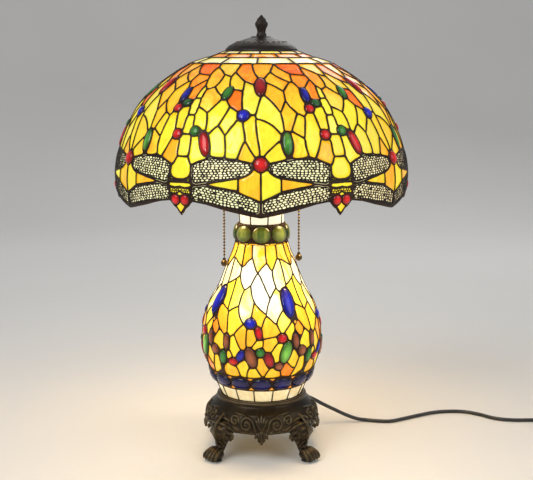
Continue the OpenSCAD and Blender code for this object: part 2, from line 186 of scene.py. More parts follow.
def lit_glass(name, rough=0.2, coat=0.30, strength=0.90, bscale=90.0, bdist=0.0006, stretch=(1, 1, 0.45), base=0.40, spec=0.35):
    """Opalescent glass lit from behind: colours Ca and Cb of each piece, streaked into each other, and a glow, Gl, that
    is painted light standing in for the bulbs' light shining through it.
    """
    m, nt, p = nodes_of(name)
    a = nt.nodes.new("ShaderNodeAttribute")
    a.attribute_name = "Ca"
    b = nt.nodes.new("ShaderNodeAttribute")
    b.attribute_name = "Cb"
    g = nt.nodes.new("ShaderNodeAttribute")
    g.attribute_name = "Gl"
    rn = nt.nodes.new("ShaderNodeAttribute")
    rn.attribute_name = "Rn"
    tc = nt.nodes.new("ShaderNodeTexCoord")
    mp = nt.nodes.new("ShaderNodeMapping")
    mp.inputs["Scale"].default_value = stretch
    nt.links.new(tc.outputs["Object"], mp.inputs["Vector"])
    ad = nt.nodes.new("ShaderNodeVectorMath")
    ad.operation = "ADD"
    nt.links.new(mp.outputs[0], ad.inputs[0])
    nt.links.new(rn.outputs["Color"], ad.inputs[1])
    n = noise(nt, 38.0, 5.0, 0.55, 1.2, ad.outputs[0])
    r = ramp(nt, n.outputs["Fac"], [(0.38, (0, 0, 0)), (0.62, (1, 1, 1))])
    mx = nt.nodes.new("ShaderNodeMix")
    mx.data_type = "RGBA"
    nt.links.new(r.outputs[0], mx.inputs["Factor"])
    nt.links.new(a.outputs["Color"], mx.inputs["A"])
    nt.links.new(b.outputs["Color"], mx.inputs["B"])
    n2 = noise(nt, 210.0, 4.0, 0.6, 0.4, ad.outputs[0])
    r2 = ramp(nt, n2.outputs["Fac"], [(0.25, (0.86, 0.86, 0.86)), (0.75, (1.08, 1.08, 1.08))])
    m2 = nt.nodes.new("ShaderNodeMix")
    m2.data_type = "RGBA"
    m2.blend_type = "MULTIPLY"
    m2.inputs["Factor"].default_value = 1.0
    nt.links.new(mx.outputs["Result"], m2.inputs["A"])
    nt.links.new(r2.outputs[0], m2.inputs["B"])
    m3 = nt.nodes.new("ShaderNodeMix")
    m3.data_type = "RGBA"
    m3.blend_type = "MULTIPLY"
    m3.inputs["Factor"].default_value = 1.0
    nt.links.new(m2.outputs["Result"], m3.inputs["A"])
    nt.links.new(g.outputs["Color"], m3.inputs["B"])
    m4 = nt.nodes.new("ShaderNodeMix")
    m4.data_type = "RGBA"
    m4.blend_type = "MULTIPLY"
    m4.inputs["Factor"].default_value = 1.0
    nt.links.new(m2.outputs["Result"], m4.inputs["A"])
    m4.inputs["B"].default_value = (base, base, base, 1)
    nt.links.new(m4.outputs["Result"], p.inputs["Base Color"])
    nt.links.new(m3.outputs["Result"], p.inputs["Emission Color"])
    p.inputs["Emission Strength"].default_value = strength
    p.inputs["Roughness"].default_value = rough
    p.inputs["Coat Weight"].default_value = coat
    p.inputs["Coat Roughness"].default_value = 0.03
    p.inputs["Specular IOR Level"].default_value = spec
    nb = noise(nt, bscale, 2.0, 0.5, 0.6, ad.outputs[0])
    bump(nt, p, nb.outputs["Fac"], 0.35, bdist)
    return m


def cast_bronze(name):
    """Dark cast bronze, lighter and greener where it stands proud."""
    m, nt, p = nodes_of(name)
    n = noise(nt, 34.0, 5.0, 0.6)
    r = ramp(nt, n.outputs["Fac"], [(0.32, (0.018, 0.012, 0.008)), (0.68, (0.050, 0.036, 0.020))])
    ge = nt.nodes.new("ShaderNodeNewGeometry")
    rp = ramp(nt, ge.outputs["Pointiness"], [(0.50, (0, 0, 0)), (0.60, (1, 1, 1))])
    mx = nt.nodes.new("ShaderNodeMix")
    mx.data_type = "RGBA"
    nt.links.new(rp.outputs[0], mx.inputs["Factor"])
    nt.links.new(r.outputs[0], mx.inputs["A"])
    mx.inputs["B"].default_value = (0.20, 0.155, 0.075, 1)
    nt.links.new(mx.outputs["Result"], p.inputs["Base Color"])
    p.inputs["Metallic"].default_value = 0.85
    p.inputs["Roughness"].default_value = 0.36
    b = noise(nt, 240.0, 3.0)
    bump(nt, p, b.outputs["Fac"], 0.35, 0.0004)
    return m


M_CORD = plain("black_pvc", (0.012, 0.012, 0.012), (0.024, 0.023, 0.022), 0.42, scale=220, bump_d=0.0001, coat=0.15)
M_LEAD = plain("lead_came", (0.018, 0.007, 0.003), (0.046, 0.021, 0.010), 0.46, 0.5, 45, 0.0003, 0.5)
M_FILI = plain("filigree", (0.014, 0.010, 0.007), (0.040, 0.030, 0.020), 0.45, 0.6, 90, 0.0001, 0.3)
M_BRONZE = plain("bronze", (0.016, 0.011, 0.008), (0.058, 0.040, 0.022), 0.38, 0.85, 26, 0.0004, 0.5, bscale=160)
M_CAP = plain("cap_bronze", (0.009, 0.006, 0.004), (0.026, 0.016, 0.010), 0.46, 0.4, 30, 0.0003, 0.5, bscale=180)
M_LIP = plain("bronze_edge", (0.10, 0.075, 0.045), (0.20, 0.15, 0.09), 0.34, 0.9, 40, 0.0002, 0.4)
# painted light: a light metal for the vent marks on the cap, standing in for the bulbs' light seen through the holes
M_VENT_PAINTED_LIGHT = plain("vent_painted_light", (0.16, 0.13, 0.09), (0.26, 0.21, 0.15), 0.4, 0.8, 60, 0.0001)
M_BASE = cast_bronze("cast_bronze")
M_BRASS = plain("brass", (0.30, 0.20, 0.075), (0.46, 0.33, 0.14), 0.32, 1.0, 60, 0.0001)
M_CHAIN = plain("chain_brass", (0.10, 0.065, 0.028), (0.20, 0.13, 0.055), 0.30, 1.0, 60, 0.0001)
M_STEEL = plain("steel", (0.42, 0.42, 0.42), (0.60, 0.60, 0.60), 0.35, 1.0, 120, 0.0001)
M_CERAM = plain("ceramic", (0.80, 0.77, 0.68), (0.86, 0.84, 0.78), 0.2, 0.0, 40, coat=0.5)
M_FELT = plain("felt", (0.02, 0.02, 0.02), (0.07, 0.07, 0.07), 0.95, 0.0, 900, 0.0003, 0.6)
M_PLUG = plain("plug_plastic", (0.020, 0.020, 0.020), (0.034, 0.033, 0.032), 0.5, 0.0, 150, 0.0001)
M_TIE = plain("tie_plastic", (0.06, 0.06, 0.06), (0.10, 0.10, 0.10), 0.5, 0.0, 200, 0.0001)
M_BULB = plain("bulb_glass", (0.95, 0.90, 0.78), (1.0, 0.96, 0.86), 0.35, 0.0, 30, emit=(1.0, 0.88, 0.62), emit_s=2.2)
M_GLASS = lit_glass("art_glass")
M_JEWEL = lit_glass("jewel_glass", rough=0.3, coat=0.85, strength=1.0, bscale=30, bdist=0.00005, base=0.10, spec=0.08)
cv.materials.append(M_CORD)


def paint(mat, *names):
    for n in names:
        o = bpy.data.objects[n] if n in bpy.data.objects else None
        if o is None:
            continue
        if len(o.material_slots) == 0:
            o.data.materials.append(mat)
        for s in o.material_slots:
            s.material = mat


# ---------------------------------------------------------------- meshes
def mesh(name, verts, faces, mat, smooth=True, attrs=None, sharp=None):
    """verts in millimetres; attrs: name -> (n, 3) colours on the vertices."""
    me = bpy.data.meshes.new(name)
    v = np.asarray(verts, float) * MM
    if isinstance(faces, np.ndarray):
        f = faces.astype(np.int32)
        k = f.shape[1]
        me.vertices.add(len(v))
        me.vertices.foreach_set("co", v.astype(np.float32).ravel())
        me.loops.add(f.size)
        me.loops.foreach_set("vertex_index", f.ravel())
        me.polygons.add(len(f))
        me.polygons.foreach_set("loop_start", np.arange(0, f.size, k, dtype=np.int32))
        me.polygons.foreach_set("loop_total", np.full(len(f), k, dtype=np.int32))
        me.update(calc_edges=True)
        me.validate()
    else:
        me.from_pydata([tuple(q) for q in v], [], [tuple(int(i) for i in f) for f in faces])
        me.update()
    me.polygons.foreach_set("use_smooth", np.full(len(me.polygons), smooth))
    for an, av in (attrs or {}).items():
        at = me.color_attributes.new(an, "FLOAT_COLOR", "POINT")
        c = np.ones((len(v), 4), np.float32)
        c[:, :3] = av
        at.data.foreach_set("color", c.ravel())
    me.materials.append(mat)
    if sharp:
        try:
            me.set_sharp_from_angle(angle=math.radians(sharp))
        except AttributeError:
            pass
    o = bpy.data.objects.new(name, me)
    scene.collection.objects.link(o)
    return o


def curve_through(p, n):
    """Catmull-Rom points through p, n to each span."""
    p = np.asarray(p, float)
    out = []
    for i in range(len(p) - 1):
        a, b, c, d = p[max(0, i - 1)], p[i], p[i + 1], p[min(len(p) - 1, i + 2)]
        for t in np.arange(n) / n:
            out.append(0.5 * (2 * b + (c - a) * t + (2 * a - 5 * b + 4 * c - d) * t * t + (3 * b - 3 * c + d - a) * t ** 3))
    out.append(p[-1])
    return np.array(out)


class Surf:
    """A surface of revolution about Z. s is the length along its outline from a given point, th the azimuth in
    degrees from the front, positive to the right."""

    def __init__(self, prof, s0=0.0, n=8, straight=False):
        q = np.asarray(prof, float) if straight else curve_through(prof, n)
        k = np.asarray(prof, float)
        kl = np.concatenate([[0], np.cumsum(np.hypot(*(k[1:] - k[:-1]).T))])
        if straight:
            self.S = kl + s0
        else:
            # keeps the length scale of the straight-sided outline, so that positions read off it hold
            idx = np.arange(len(q)) / n
            self.S = np.interp(idx, np.arange(len(k)), kl) + s0
        self.R, self.Z = q[:, 0], q[:, 1]
        d = np.gradient(q, axis=0)
        d /= np.hypot(d[:, 0], d[:, 1])[:, None]
        self.NR, self.NZ = -d[:, 1], d[:, 0]
        if np.mean(self.NR) < 0:
            self.NR, self.NZ = -self.NR, -self.NZ

    def r(self, s):
        return np.interp(s, self.S, self.R)

    def pos(self, th, s, off=0.0):
        nr, nz = np.interp(s, self.S, self.NR), np.interp(s, self.S, self.NZ)
        ln = np.hypot(nr, nz)
        r = np.interp(s, self.S, self.R) + off * nr / ln
        z = np.interp(s, self.S, self.Z) + off * nz / ln
        t = np.radians(th)
        return np.stack([r * np.sin(t), -r * np.cos(t), z], -1)


def chaikin(p, k=2, c=0.22):
    p = np.asarray(p, float)
    for _ in range(k):
        q = np.roll(p, -1, 0)
        p = np.stack([p * (1 - c) + q * c, p * c + q * (1 - c)], 1).reshape(-1, p.shape[1])
        c = 0.25
    return p


def resample(p, step):
    """Points at even steps round the closed outline p."""
    q = np.vstack([p, p[:1]])
    l = np.concatenate([[0], np.cumsum(np.hypot(*(q[1:] - q[:-1]).T))])
    n = max(8, int(l[-1] / step))
    u = np.arange(n) * l[-1] / n
    return np.stack([np.interp(u, l, q[:, 0]), np.interp(u, l, q[:, 1])], 1)


def poly_sdf(px, py, P):
    """Signed distance from points to the polygon P, negative inside."""
    a, b = P, np.roll(P, -1, 0)
    best = np.full(px.shape, 1e9)
    inside = np.zeros(px.shape, bool)
    for (ax, ay), (bx, by) in zip(a, b):
        ex, ey = bx - ax, by - ay
        l2 = ex * ex + ey * ey
        if l2 < 1e-9:
            continue
        t = np.clip(((px - ax) * ex + (py - ay) * ey) / l2, 0, 1)
        d = np.hypot(px - ax - t * ex, py - ay - t * ey)
        best = np.minimum(best, d)
        cond = (ay > py) != (by > py)
        xi = ax + (py - ay) * ex / (ey if abs(ey) > 1e-12 else 1e-12)
        inside ^= cond & (px < xi)
    return np.where(inside, -best, best)


def ell_sdf(px, py, hw, hh):
    k0 = np.hypot(px / hw, py / hh) + 1e-9
    k1 = np.hypot(px / hw ** 2, py / hh ** 2) + 1e-9
    return k0 * (k0 - 1) / k1


RAD = math.pi / 180


class Panel:
    """A leaded panel on a surface of revolution: pieces of glass and cabochons, repeated round it, with the lead
    that fills the rest. Outlines are in (th, s)."""

    def __init__(self, surf, period, s_lo, s_hi, inset=1.3, w=0.9, cap=1.3, rim=None, ring=1.8):
        self.f, self.T, self.lo, self.hi, self.inset = surf, period, s_lo, s_hi, inset
        self.glass, self.jewels = [], []
        self.w, self.cap, self.rim, self.ring = w, cap, rim, ring

    def add(self, pts, ca, cb=None, kind="glass", smooth=2, inset=None):
        self.glass.append(dict(P=np.array(pts, float), ca=ca, cb=cb or ca, kind=kind, smooth=smooth,
                               inset=self.inset if inset is None else inset))

    def jewel(self, th, s, hw, hh, ca, tilt=0.0, dome=None, cb=None):
        self.jewels.append(dict(c=(th, s), hw=hw, hh=hh, ca=ca, cb=cb or ca, tilt=tilt, dome=dome))

    def flat(self, th, s, c):
        """Position in millimetres round the point c, on the unrolled surface."""
        return (th - c[0]) * RAD * self.f.r(s), s - c[1]

    def field(self, th, s):
        """Above nothing where there is lead: along the line midway between neighbouring pieces, and in wide gaps."""
        t = np.full(th.shape, 1e9)
        t2 = np.full(th.shape, 1e9)
        tj = np.full(th.shape, 1e9)

        def put(m, d):
            d = d[m] if np.ndim(d) > 1 else d
            a = t[m]
            t2[m] = np.minimum(t2[m], np.maximum(a, d))
            t[m] = np.minimum(a, d)
        for k in (-1, 0, 1):
            for g in self.glass:
                P = g["P"] + [k * self.T, 0]
                if P[:, 0].max() < th.min() - 6 or P[:, 0].min() > th.max() + 6:
                    continue
                P = self.outline(g, k)
                c = P.mean(0)
                fx, fy = self.flat(P[:, 0], P[:, 1], c)
                m = (th > P[:, 0].min() - 5) & (th < P[:, 0].max() + 5) & (s > P[:, 1].min() - 9) & (s < P[:, 1].max() + 9)
                if not m.any():
                    continue
                x, y = self.flat(th[m], s[m], c)
                put(m, poly_sdf(x, y, np.stack([fx, fy], 1)))
            for j in self.jewels:
                c = (j["c"][0] + k * self.T, j["c"][1])
                if abs(c[0] - th.mean()) > self.T + 20:
                    continue
                x, y = self.flat(th, s, c)
                a = j["tilt"] * RAD
                d = ell_sdf(x * math.cos(a) + y * math.sin(a), -x * math.sin(a) + y * math.cos(a), j["hw"], j["hh"])
                put(np.ones(th.shape, bool), d)
                tj = np.minimum(tj, d)
        al = np.ones(th.shape, bool)
        put(al, s - self.lo)
        put(al, (self.rim(th) if self.rim else self.hi) - s)
        w = self.w * (1 + 0.17 * np.sin(th * 0.9 + s * 0.11) * np.cos(s * 0.17 - th * 0.5))
        v = np.maximum(w - (np.minimum(t2, 40) - t) / 2, t - self.cap)
        v = np.maximum(v, self.ring - tj)
        return np.minimum(v, tj)

    def grown(self, g):
        """The outline of a piece, moved to just under the lead round it, in (th, s)."""
        if "G" in g:
            return g["G"]
        P = self.outline(g)
        c = P.mean(0)
        x, y = self.flat(P[:, 0], P[:, 1], c)
        Q = resample(np.stack([x, y], 1), 2.4)
        a = np.roll(Q, -1, 0) - np.roll(Q, 1, 0)
        a /= np.hypot(a[:, 0], a[:, 1])[:, None] + 1e-9
        nr = np.stack([a[:, 1], -a[:, 0]], 1)
        if np.sum(nr * (Q - Q.mean(0))) < 0:
            nr = -nr
        s = Q[:, 1] + c[1]
        th = Q[:, 0] / (RAD * self.f.r(s)) + c[0]
        o = np.minimum(np.abs(s - self.lo), np.abs((self.rim(th) if self.rim else self.hi) - s))
        for k in (-1, 0, 1):
            for h in self.glass:
                if h is g and k == 0:
                    continue
                H = h["P"] + [k * self.T, 0]
                if H[:, 0].max() < th.min() - 4 or H[:, 0].min() > th.max() + 4 or H[:, 1].max() < s.min() - 6 or H[:, 1].min() > s.max() + 6:
                    continue
                H = self.outline(h, k)
                hx, hy = self.flat(H[:, 0], H[:, 1], c)
                o = np.minimum(o, poly_sdf(Q[:, 0], Q[:, 1], np.stack([hx, hy], 1)))
            for j in self.jewels:
                x, y = self.flat(th, s, (j["c"][0] + k * self.T, j["c"][1]))
                a_ = j["tilt"] * RAD
                o = np.minimum(o, ell_sdf(x * math.cos(a_) + y * math.sin(a_), -x * math.sin(a_) + y * math.cos(a_), j["hw"], j["hh"]))
        t = np.clip(o / 2 - 0.5 * self.w, -0.6 * self.w, self.cap + 0.25)
        t = (np.roll(t, 1) + t * 2 + np.roll(t, -1)) / 4
        q = Q + nr * t[:, None]
        s = q[:, 1] + c[1]
        g["G"] = np.stack([q[:, 0] / (RAD * self.f.r(s)) + c[0], s], 1)
        return g["G"]

    def outline(self, g, k=0):
        P = g["P"] + [k * self.T, 0]
        if not g["smooth"]:
            return P
        c = P.mean(0)
        x, y = self.flat(P[:, 0], P[:, 1], c)
        q = chaikin(np.stack([x, y], 1), g["smooth"])
        s = q[:, 1] + c[1]
        return np.stack([q[:, 0] / (RAD * self.f.r(s)) + c[0], s], 1)


def march(nx, ny, v):
    """Triangles of the part of an nx by ny grid where v > 0, with its border interpolated. Gives the corner
    indices into a list of (grid index a, grid index b, weight) vertices."""
    idx = np.arange(nx * ny).reshape(ny, nx)
    a, b, c, d = idx[:-1, :-1].ravel(), idx[:-1, 1:].ravel(), idx[1:, 1:].ravel(), idx[1:, :-1].ravel()
    par = ((np.arange(ny - 1)[:, None] + np.arange(nx - 1)[None, :]) % 2).ravel().astype(bool)
    t1 = np.where(par[:, None], np.stack([a, b, c], 1), np.stack([a, b, d], 1))
    t2 = np.where(par[:, None], np.stack([a, c, d], 1), np.stack([b, c, d], 1))
    T = np.vstack([t1, t2])
    v = v.ravel()
    ins = v[T] > 0
    n = ins.sum(1)
    full = T[n == 3]
    N = nx * ny

    def key(i, j):
        return np.minimum(i, j) * N + np.maximum(i, j)
    out = [np.stack([full[:, k] * (N + 1) for k in range(3)], 1)]
    one = T[n == 1]
    oi = np.argmax(v[one] > 0, 1)
    r = np.arange(len(one))
    p, q, s = one[r, oi], one[r, (oi + 1) % 3], one[r, (oi + 2) % 3]
    out.append(np.stack([p * (N + 1), key(p, q), key(p, s)], 1))
    two = T[n == 2]
    oi = np.argmin(v[two] > 0, 1)
    r = np.arange(len(two))
    p, q, s = two[r, oi], two[r, (oi + 1) % 3], two[r, (oi + 2) % 3]
    out.append(np.stack([q * (N + 1), s * (N + 1), key(p, q)], 1))
    out.append(np.stack([s * (N + 1), key(p, s), key(p, q)], 1))
    K = np.vstack(out)
    keys, inv = np.unique(K, return_inverse=True)
    F = inv.reshape(-1, 3)
    i, j = keys // N, keys % N
    same = keys % (N + 1) == 0
    i = np.where(same & (keys // (N + 1) < N), keys // (N + 1), i)
    j = np.where(same & (keys // (N + 1) < N), i, j)
    w = np.where(i == j, 0.0, v[i] / np.where(i == j, 1, v[i] - v[j]))
    bad = (F[:, 0] == F[:, 1]) | (F[:, 1] == F[:, 2]) | (F[:, 0] == F[:, 2])
    return i, j, np.clip(w, 0.001, 0.999) * (i != j), F[~bad]


def solid_from(F, top, bot):
    """Closes the sheet F between the vertex positions top and bot with walls."""
    n = len(top)
    e = np.vstack([F[:, [0, 1]], F[:, [1, 2]], F[:, [2, 0]]])
    ks = np.sort(e, 1)
    kk = ks[:, 0].astype(np.int64) * n + ks[:, 1]
    u, first, cnt = np.unique(kk, return_index=True, return_counts=True)
    be = e[first[cnt == 1]]
    w1 = np.stack([be[:, 1], be[:, 0], be[:, 0] + n], 1)
    w2 = np.stack([be[:, 1], be[:, 0] + n, be[:, 1] + n], 1)
    return np.vstack([top, bot]), np.vstack([F, F[:, ::-1] + n, w1, w2])


def turned(v, deg):
    a = deg * RAD
    c, s = math.cos(a), math.sin(a)
    o = v.copy()
    o[:, 0] = v[:, 0] * c - v[:, 1] * s
    o[:, 1] = v[:, 0] * s + v[:, 1] * c
    return o


# where the light comes from, and how strongly a point of the glass glows
def side_of(p):
    """-1 at the left of the lamp, 1 at its right."""
    return p[:, 0] / (np.hypot(p[:, 0], p[:, 1]) + 1e-9)


def glow_shade(p):
    # painted light: full glow up to 500 mm high; towards the crown and towards the sides (the right more than the left)
    # it dims and turns more amber
    top = np.clip((p[:, 2] - 500) / 46, 0, 1)
    top = top * top * (3 - 2 * top)
    sd = side_of(p)
    gr = (0.97 - 0.30 * top) * (1 - 0.26 * np.clip(sd, 0, 1) ** 1.5 - 0.12 * np.clip(-sd, 0, 1) ** 1.5)
    return np.stack([0.98 - 0.05 * top - 0.06 * np.abs(sd) ** 2, gr, 0.45 * gr], 1)


def glow_urn(p):
    # painted light: brightest and whitest at 244 mm high, dimmer and yellower away from there and towards the sides
    d = np.abs(p[:, 2] - 244) / 64
    c = np.exp(-d * d)
    up = np.clip((p[:, 2] - 262) / 40, 0, 1)
    b = 0.84 + 0.80 * c
    sd = np.abs(side_of(p)) ** 2
    return np.stack([b, b * (0.84 + 0.16 * c - 0.05 * up) * (1 - 0.14 * sd), b * (0.38 + 0.62 * c) * (1 - 0.3 * sd)], 1)


def make_lead(panel, name, body, repeats, step_mm, thick, lift=1.1, rim=None, mat=None, phase=0.0, base_off=0.15,
              plateau=1.4, split=True, both=True):
    T = panel.T
    rmax = max(panel.f.r(np.linspace(panel.lo, panel.hi, 20)))
    nx = int(math.ceil(T * RAD * rmax / step_mm)) + 1
    ny = int(math.ceil((panel.hi - panel.lo) / step_mm)) + 1
    th = np.linspace(-T / 2, T / 2, nx)
    s = np.linspace(panel.lo, panel.hi, ny)
    TH, SS = np.meshgrid(th, s)
    t = panel.field(TH, SS)
    t[:, -1] = t[:, 0]
    v = t.copy()
    if rim is not None:
        v = np.minimum(v, rim(TH) - SS)
        v[:, -1] = v[:, 0]
    i, j, w, F = march(nx, ny, v)
    tv = t.ravel()
    thv = TH.ravel()[i] * (1 - w) + TH.ravel()[j] * w
    sv = SS.ravel()[i] * (1 - w) + SS.ravel()[j] * w
    d = np.clip(np.clip(tv[i], 0, 9) * (1 - w) + np.clip(tv[j], 0, 9) * w, 0, plateau) / plateau
    h = lift * np.sqrt(np.clip(1 - (1 - d) ** 2, 0, 1))
    top = panel.f.pos(thv, sv, base_off + h)
    bot = panel.f.pos(thv, sv, -thick - base_off - (h * 0.8 if both else 0))
    # outward-facing order
    p0, p1, p2 = top[F[:, 0]], top[F[:, 1]], top[F[:, 2]]
    nrm = np.cross(p1 - p0, p2 - p0)
    out = np.stack([p0[:, 0], p0[:, 1], p0[:, 0] * 0 + 60], 1)
    flip = np.einsum("ij,ij->i", nrm, out) < 0
    F = np.where(flip[:, None], F[:, ::-1], F)
    V, FF = solid_from(F, top, bot)
    obs = []
    for k in range(repeats):
        o = mesh(f"{name}_{k + 1}", turned(V, T * k + phase), FF, mat or M_LEAD, sharp=50)
        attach(o, body)
        obs.append(o)
    print(name, "faces", len(FF) * repeats)
    return obs


def glass_mesh(panel, g, k, thick, rnd, glow, off=0.0, inset=0.5):
    """One piece of glass: flat-ish, its outline on the surface, with a little of it under the lead."""
    P = panel.grown(g) + [k * panel.T, 0]
    c = P.mean(0)
    x, y = panel.flat(P[:, 0], P[:, 1], c)
    Q = np.stack([x, y], 1)
    n = len(Q)
    a = np.roll(Q, -1, 0) - np.roll(Q, 1, 0)
    a /= np.hypot(a[:, 0], a[:, 1])[:, None] + 1e-9
    nr = np.stack([-a[:, 1], a[:, 0]], 1)
    if np.sum(nr * (Q - Q.mean(0))) > 0:
        nr = -nr
    B = Q
    ctr = B.mean(0)
    rings = [B, ctr + (B - ctr) * 0.66, ctr + (B - ctr) * 0.33]

    def up(q, o):
        s = q[:, 1] + c[1]
        return panel.f.pos(q[:, 0] / (RAD * panel.f.r(s)) + c[0], s, o)
    edge = up(B, off)
    mid = edge.mean(0)
    top = [edge]
    for f, q in ((0.66, rings[1]), (0.33, rings[2])):
        cur = up(q, off)
        flatp = mid + (edge - mid) * f
        top.append(cur * 0.45 + flatp * 0.55 + (cur - flatp) * 0.0)
    cen = up(ctr[None, :], off)[0] * 0.45 + mid * 0.55
    nrm = np.array([mid[0], mid[1], 0.0])
    e1 = edge - mid
    nn = np.cross(e1, np.roll(e1, -1, 0)).sum(0)
    nn /= np.linalg.norm(nn)
    if nn @ np.array([mid[0], mid[1], 30.0]) < 0:
        nn = -nn
    V = np.vstack([edge, top[1], top[2], cen[None, :], edge - nn * thick, (cen - nn * thick)[None, :]])
    i = np.arange(n)
    j = (i + 1) % n
    F = [np.stack([i, j, j + n], 1), np.stack([i, j + n, i + n], 1), np.stack([i + n, j + n, j + 2 * n], 1),
         np.stack([i + n, j + 2 * n, i + 2 * n], 1), np.stack([i + 2 * n, j + 2 * n, np.full(n, 3 * n)], 1)]
    b0 = 3 * n + 1
    F += [np.stack([j + b0, i + b0, np.full(n, b0 + n)], 1), np.stack([j, i, i + b0], 1), np.stack([j, i + b0, j + b0], 1)]
    F = np.vstack(F)
    p0, p1, p2 = V[F[0, 0]], V[F[0, 1]], V[F[0, 2]]
    if np.cross(p1 - p0, p2 - p0) @ nn < 0:
        F = F[:, ::-1]
    return V, F


def jewel_mesh(panel, jw, k, thick, off=0.4, seg=28, rows=6, grow=0.45):
    c = (jw["c"][0] + k * panel.T, jw["c"][1])
    hw, hh = jw["hw"] + grow, jw["hh"] + grow
    dome = jw["dome"] or 0.42 * min(hw, hh)
    o = panel.f.pos(np.array([c[0]]), np.array([c[1]]), 0.0)[0]
    n = panel.f.pos(np.array([c[0]]), np.array([c[1]]), 1.0)[0] - o
    n /= np.linalg.norm(n)
    u = np.array([math.cos(c[0] * RAD), math.sin(c[0] * RAD), 0.0])
    w = panel.f.pos(np.array([c[0]]), np.array([c[1] + 0.5]), 0.0)[0] - panel.f.pos(np.array([c[0]]), np.array([c[1] - 0.5]), 0.0)[0]
    w /= np.linalg.norm(w)
    a = jw["tilt"] * RAD
    u2, w2 = u * math.cos(a) + w * math.sin(a), -u * math.sin(a) + w * math.cos(a)
    V = []
    for r in range(rows + 1):
        f = math.cos(r / rows * math.pi / 2 * 0.999)
        h = math.sin(r / rows * math.pi / 2) * dome
        if r == rows:
            V.append(o + n * (off + h))
            break
        for q in range(seg):
            t = q / seg * 2 * math.pi
            V.append(o + u2 * hw * f * math.cos(t) + w2 * hh * f * math.sin(t) + n * (off + h))
    top = len(V) - 1
    b0 = len(V)
    for q in range(seg):
        t = q / seg * 2 * math.pi
        V.append(o + u2 * hw * math.cos(t) + w2 * hh * math.sin(t) - n * thick)
    V.append(o - n * (thick + dome * 0.5))
    F = []
    for r in range(rows - 1):
        for q in range(seg):
            q2 = (q + 1) % seg
            F += [(r * seg + q, r * seg + q2, (r + 1) * seg + q2), (r * seg + q, (r + 1) * seg + q2, (r + 1) * seg + q)]
    for q in range(seg):
        q2 = (q + 1) % seg
        F.append(((rows - 1) * seg + q, (rows - 1) * seg + q2, top))
        F += [(q2, q, b0 + q), (q2, b0 + q, b0 + q2), (b0 + q2, b0 + q, b0 + seg)]
    V, F = np.array(V), np.array(F)
    p0, p1, p2 = V[F[0, 0]], V[F[0, 1]], V[F[0, 2]]
    if np.cross(p1 - p0, p2 - p0) @ (p0 - o + n * 0.01) < 0:
        F = F[:, ::-1]
    return V, F


def gem(c, bright=1.15):
    """A cabochon's colour at each vertex, with painted light: bright at the top of its dome, dark and deep towards its
    rim, with a faint pale painted highlight at the top.
    """
    h = jewel_h()[:, None] ** 2.6
    c = np.asarray(c, float)[None, :]
    return np.clip(c * (0.30 + (bright - 0.30) * h) + 0.012 * bright * c.max() * h ** 2, 0, 1)


def jewel_h(seg=28, rows=6):
    """How high up its dome each vertex of a cabochon stands, 0 to 1."""
    return np.concatenate([np.repeat(np.sin(np.arange(rows) / rows * math.pi / 2), seg), [1.0], np.zeros(seg + 1)])


class Bag:
    """Collects pieces into one mesh with its attributes."""

    def __init__(self):
        self.V, self.F, self.A, self.n = [], [], {"Ca": [], "Cb": [], "Gl": [], "Rn": []}, 0

    def put(self, V, F, ca, cb, gl, rn):
        self.V.append(V)
        self.F.append(F + self.n)
        self.n += len(V)
        m = len(V)
        self.A["Ca"].append(np.broadcast_to(np.asarray(ca, float), (m, 3)))
        self.A["Cb"].append(np.broadcast_to(np.asarray(cb, float), (m, 3)))
        g = np.broadcast_to(np.asarray(gl, float), (m,)) if np.ndim(gl) < 2 else gl
        self.A["Gl"].append(np.repeat(g[:, None], 3, 1) if g.ndim == 1 else g)
        self.A["Rn"].append(np.broadcast_to(np.asarray(rn, float), (m, 3)))

    def build(self, name, mat, body, sharp=None):
        o = mesh(name, np.vstack(self.V), np.vstack(self.F), mat, attrs={k: np.vstack(v) for k, v in self.A.items()}, sharp=sharp)
        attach(o, body)
        return o


# ---------------------------------------------------------------- the shade
SHADE = Surf([(50, 567.5), (60, 564), (75, 559), (96, 552), (107, 546.0), (119, 539), (135, 528), (149.5, 516.5), (163, 503),
              (173, 490), (181, 476), (187.5, 462), (193, 449), (197.5, 435), (201.5, 420), (203.5, 400), (202, 380),
              (200, 360)], s0=-49.6)
# colours of lit glass, linear
Y = (1.0, 0.66, 0.035)      # yellow
YB = (1.0, 0.82, 0.05)      # bright yellow
YG = (0.92, 0.82, 0.06)     # yellow with a touch of green
PA = (0.98, 0.86, 0.15)     # pale straw
AM = (1.0, 0.44, 0.020)     # amber
OR = (0.95, 0.25, 0.012)    # orange
OD = (0.82, 0.13, 0.008)    # red orange
WH = (1.0, 0.95, 0.70)      # cream white
RED = (0.62, 0.004, 0.004)
DRED = (0.26, 0.002, 0.003)
BLU = (0.010, 0.012, 0.46)
DBLU = (0.008, 0.006, 0.13)
GRN = (0.035, 0.20, 0.022)
DGRN = (0.016, 0.095, 0.020)
LGRN = (0.22, 0.55, 0.06)
BRN = (0.30, 0.075, 0.022)

RIM = [(0, 228.4), (4, 225.9), (13, 219.8), (20, 213.8), (24.2, 211.6), (25.4, 211.4), (26.2, 214.0), (27.2, 218.2), (28.4, 220.6), (29.2, 224.2), (30, 228.0)]


def rim_s(th):
    a = np.abs((np.asarray(th, float) + 30) % 60 - 30)
    return np.interp(a, [p[0] for p in RIM], [p[1] for p in RIM])


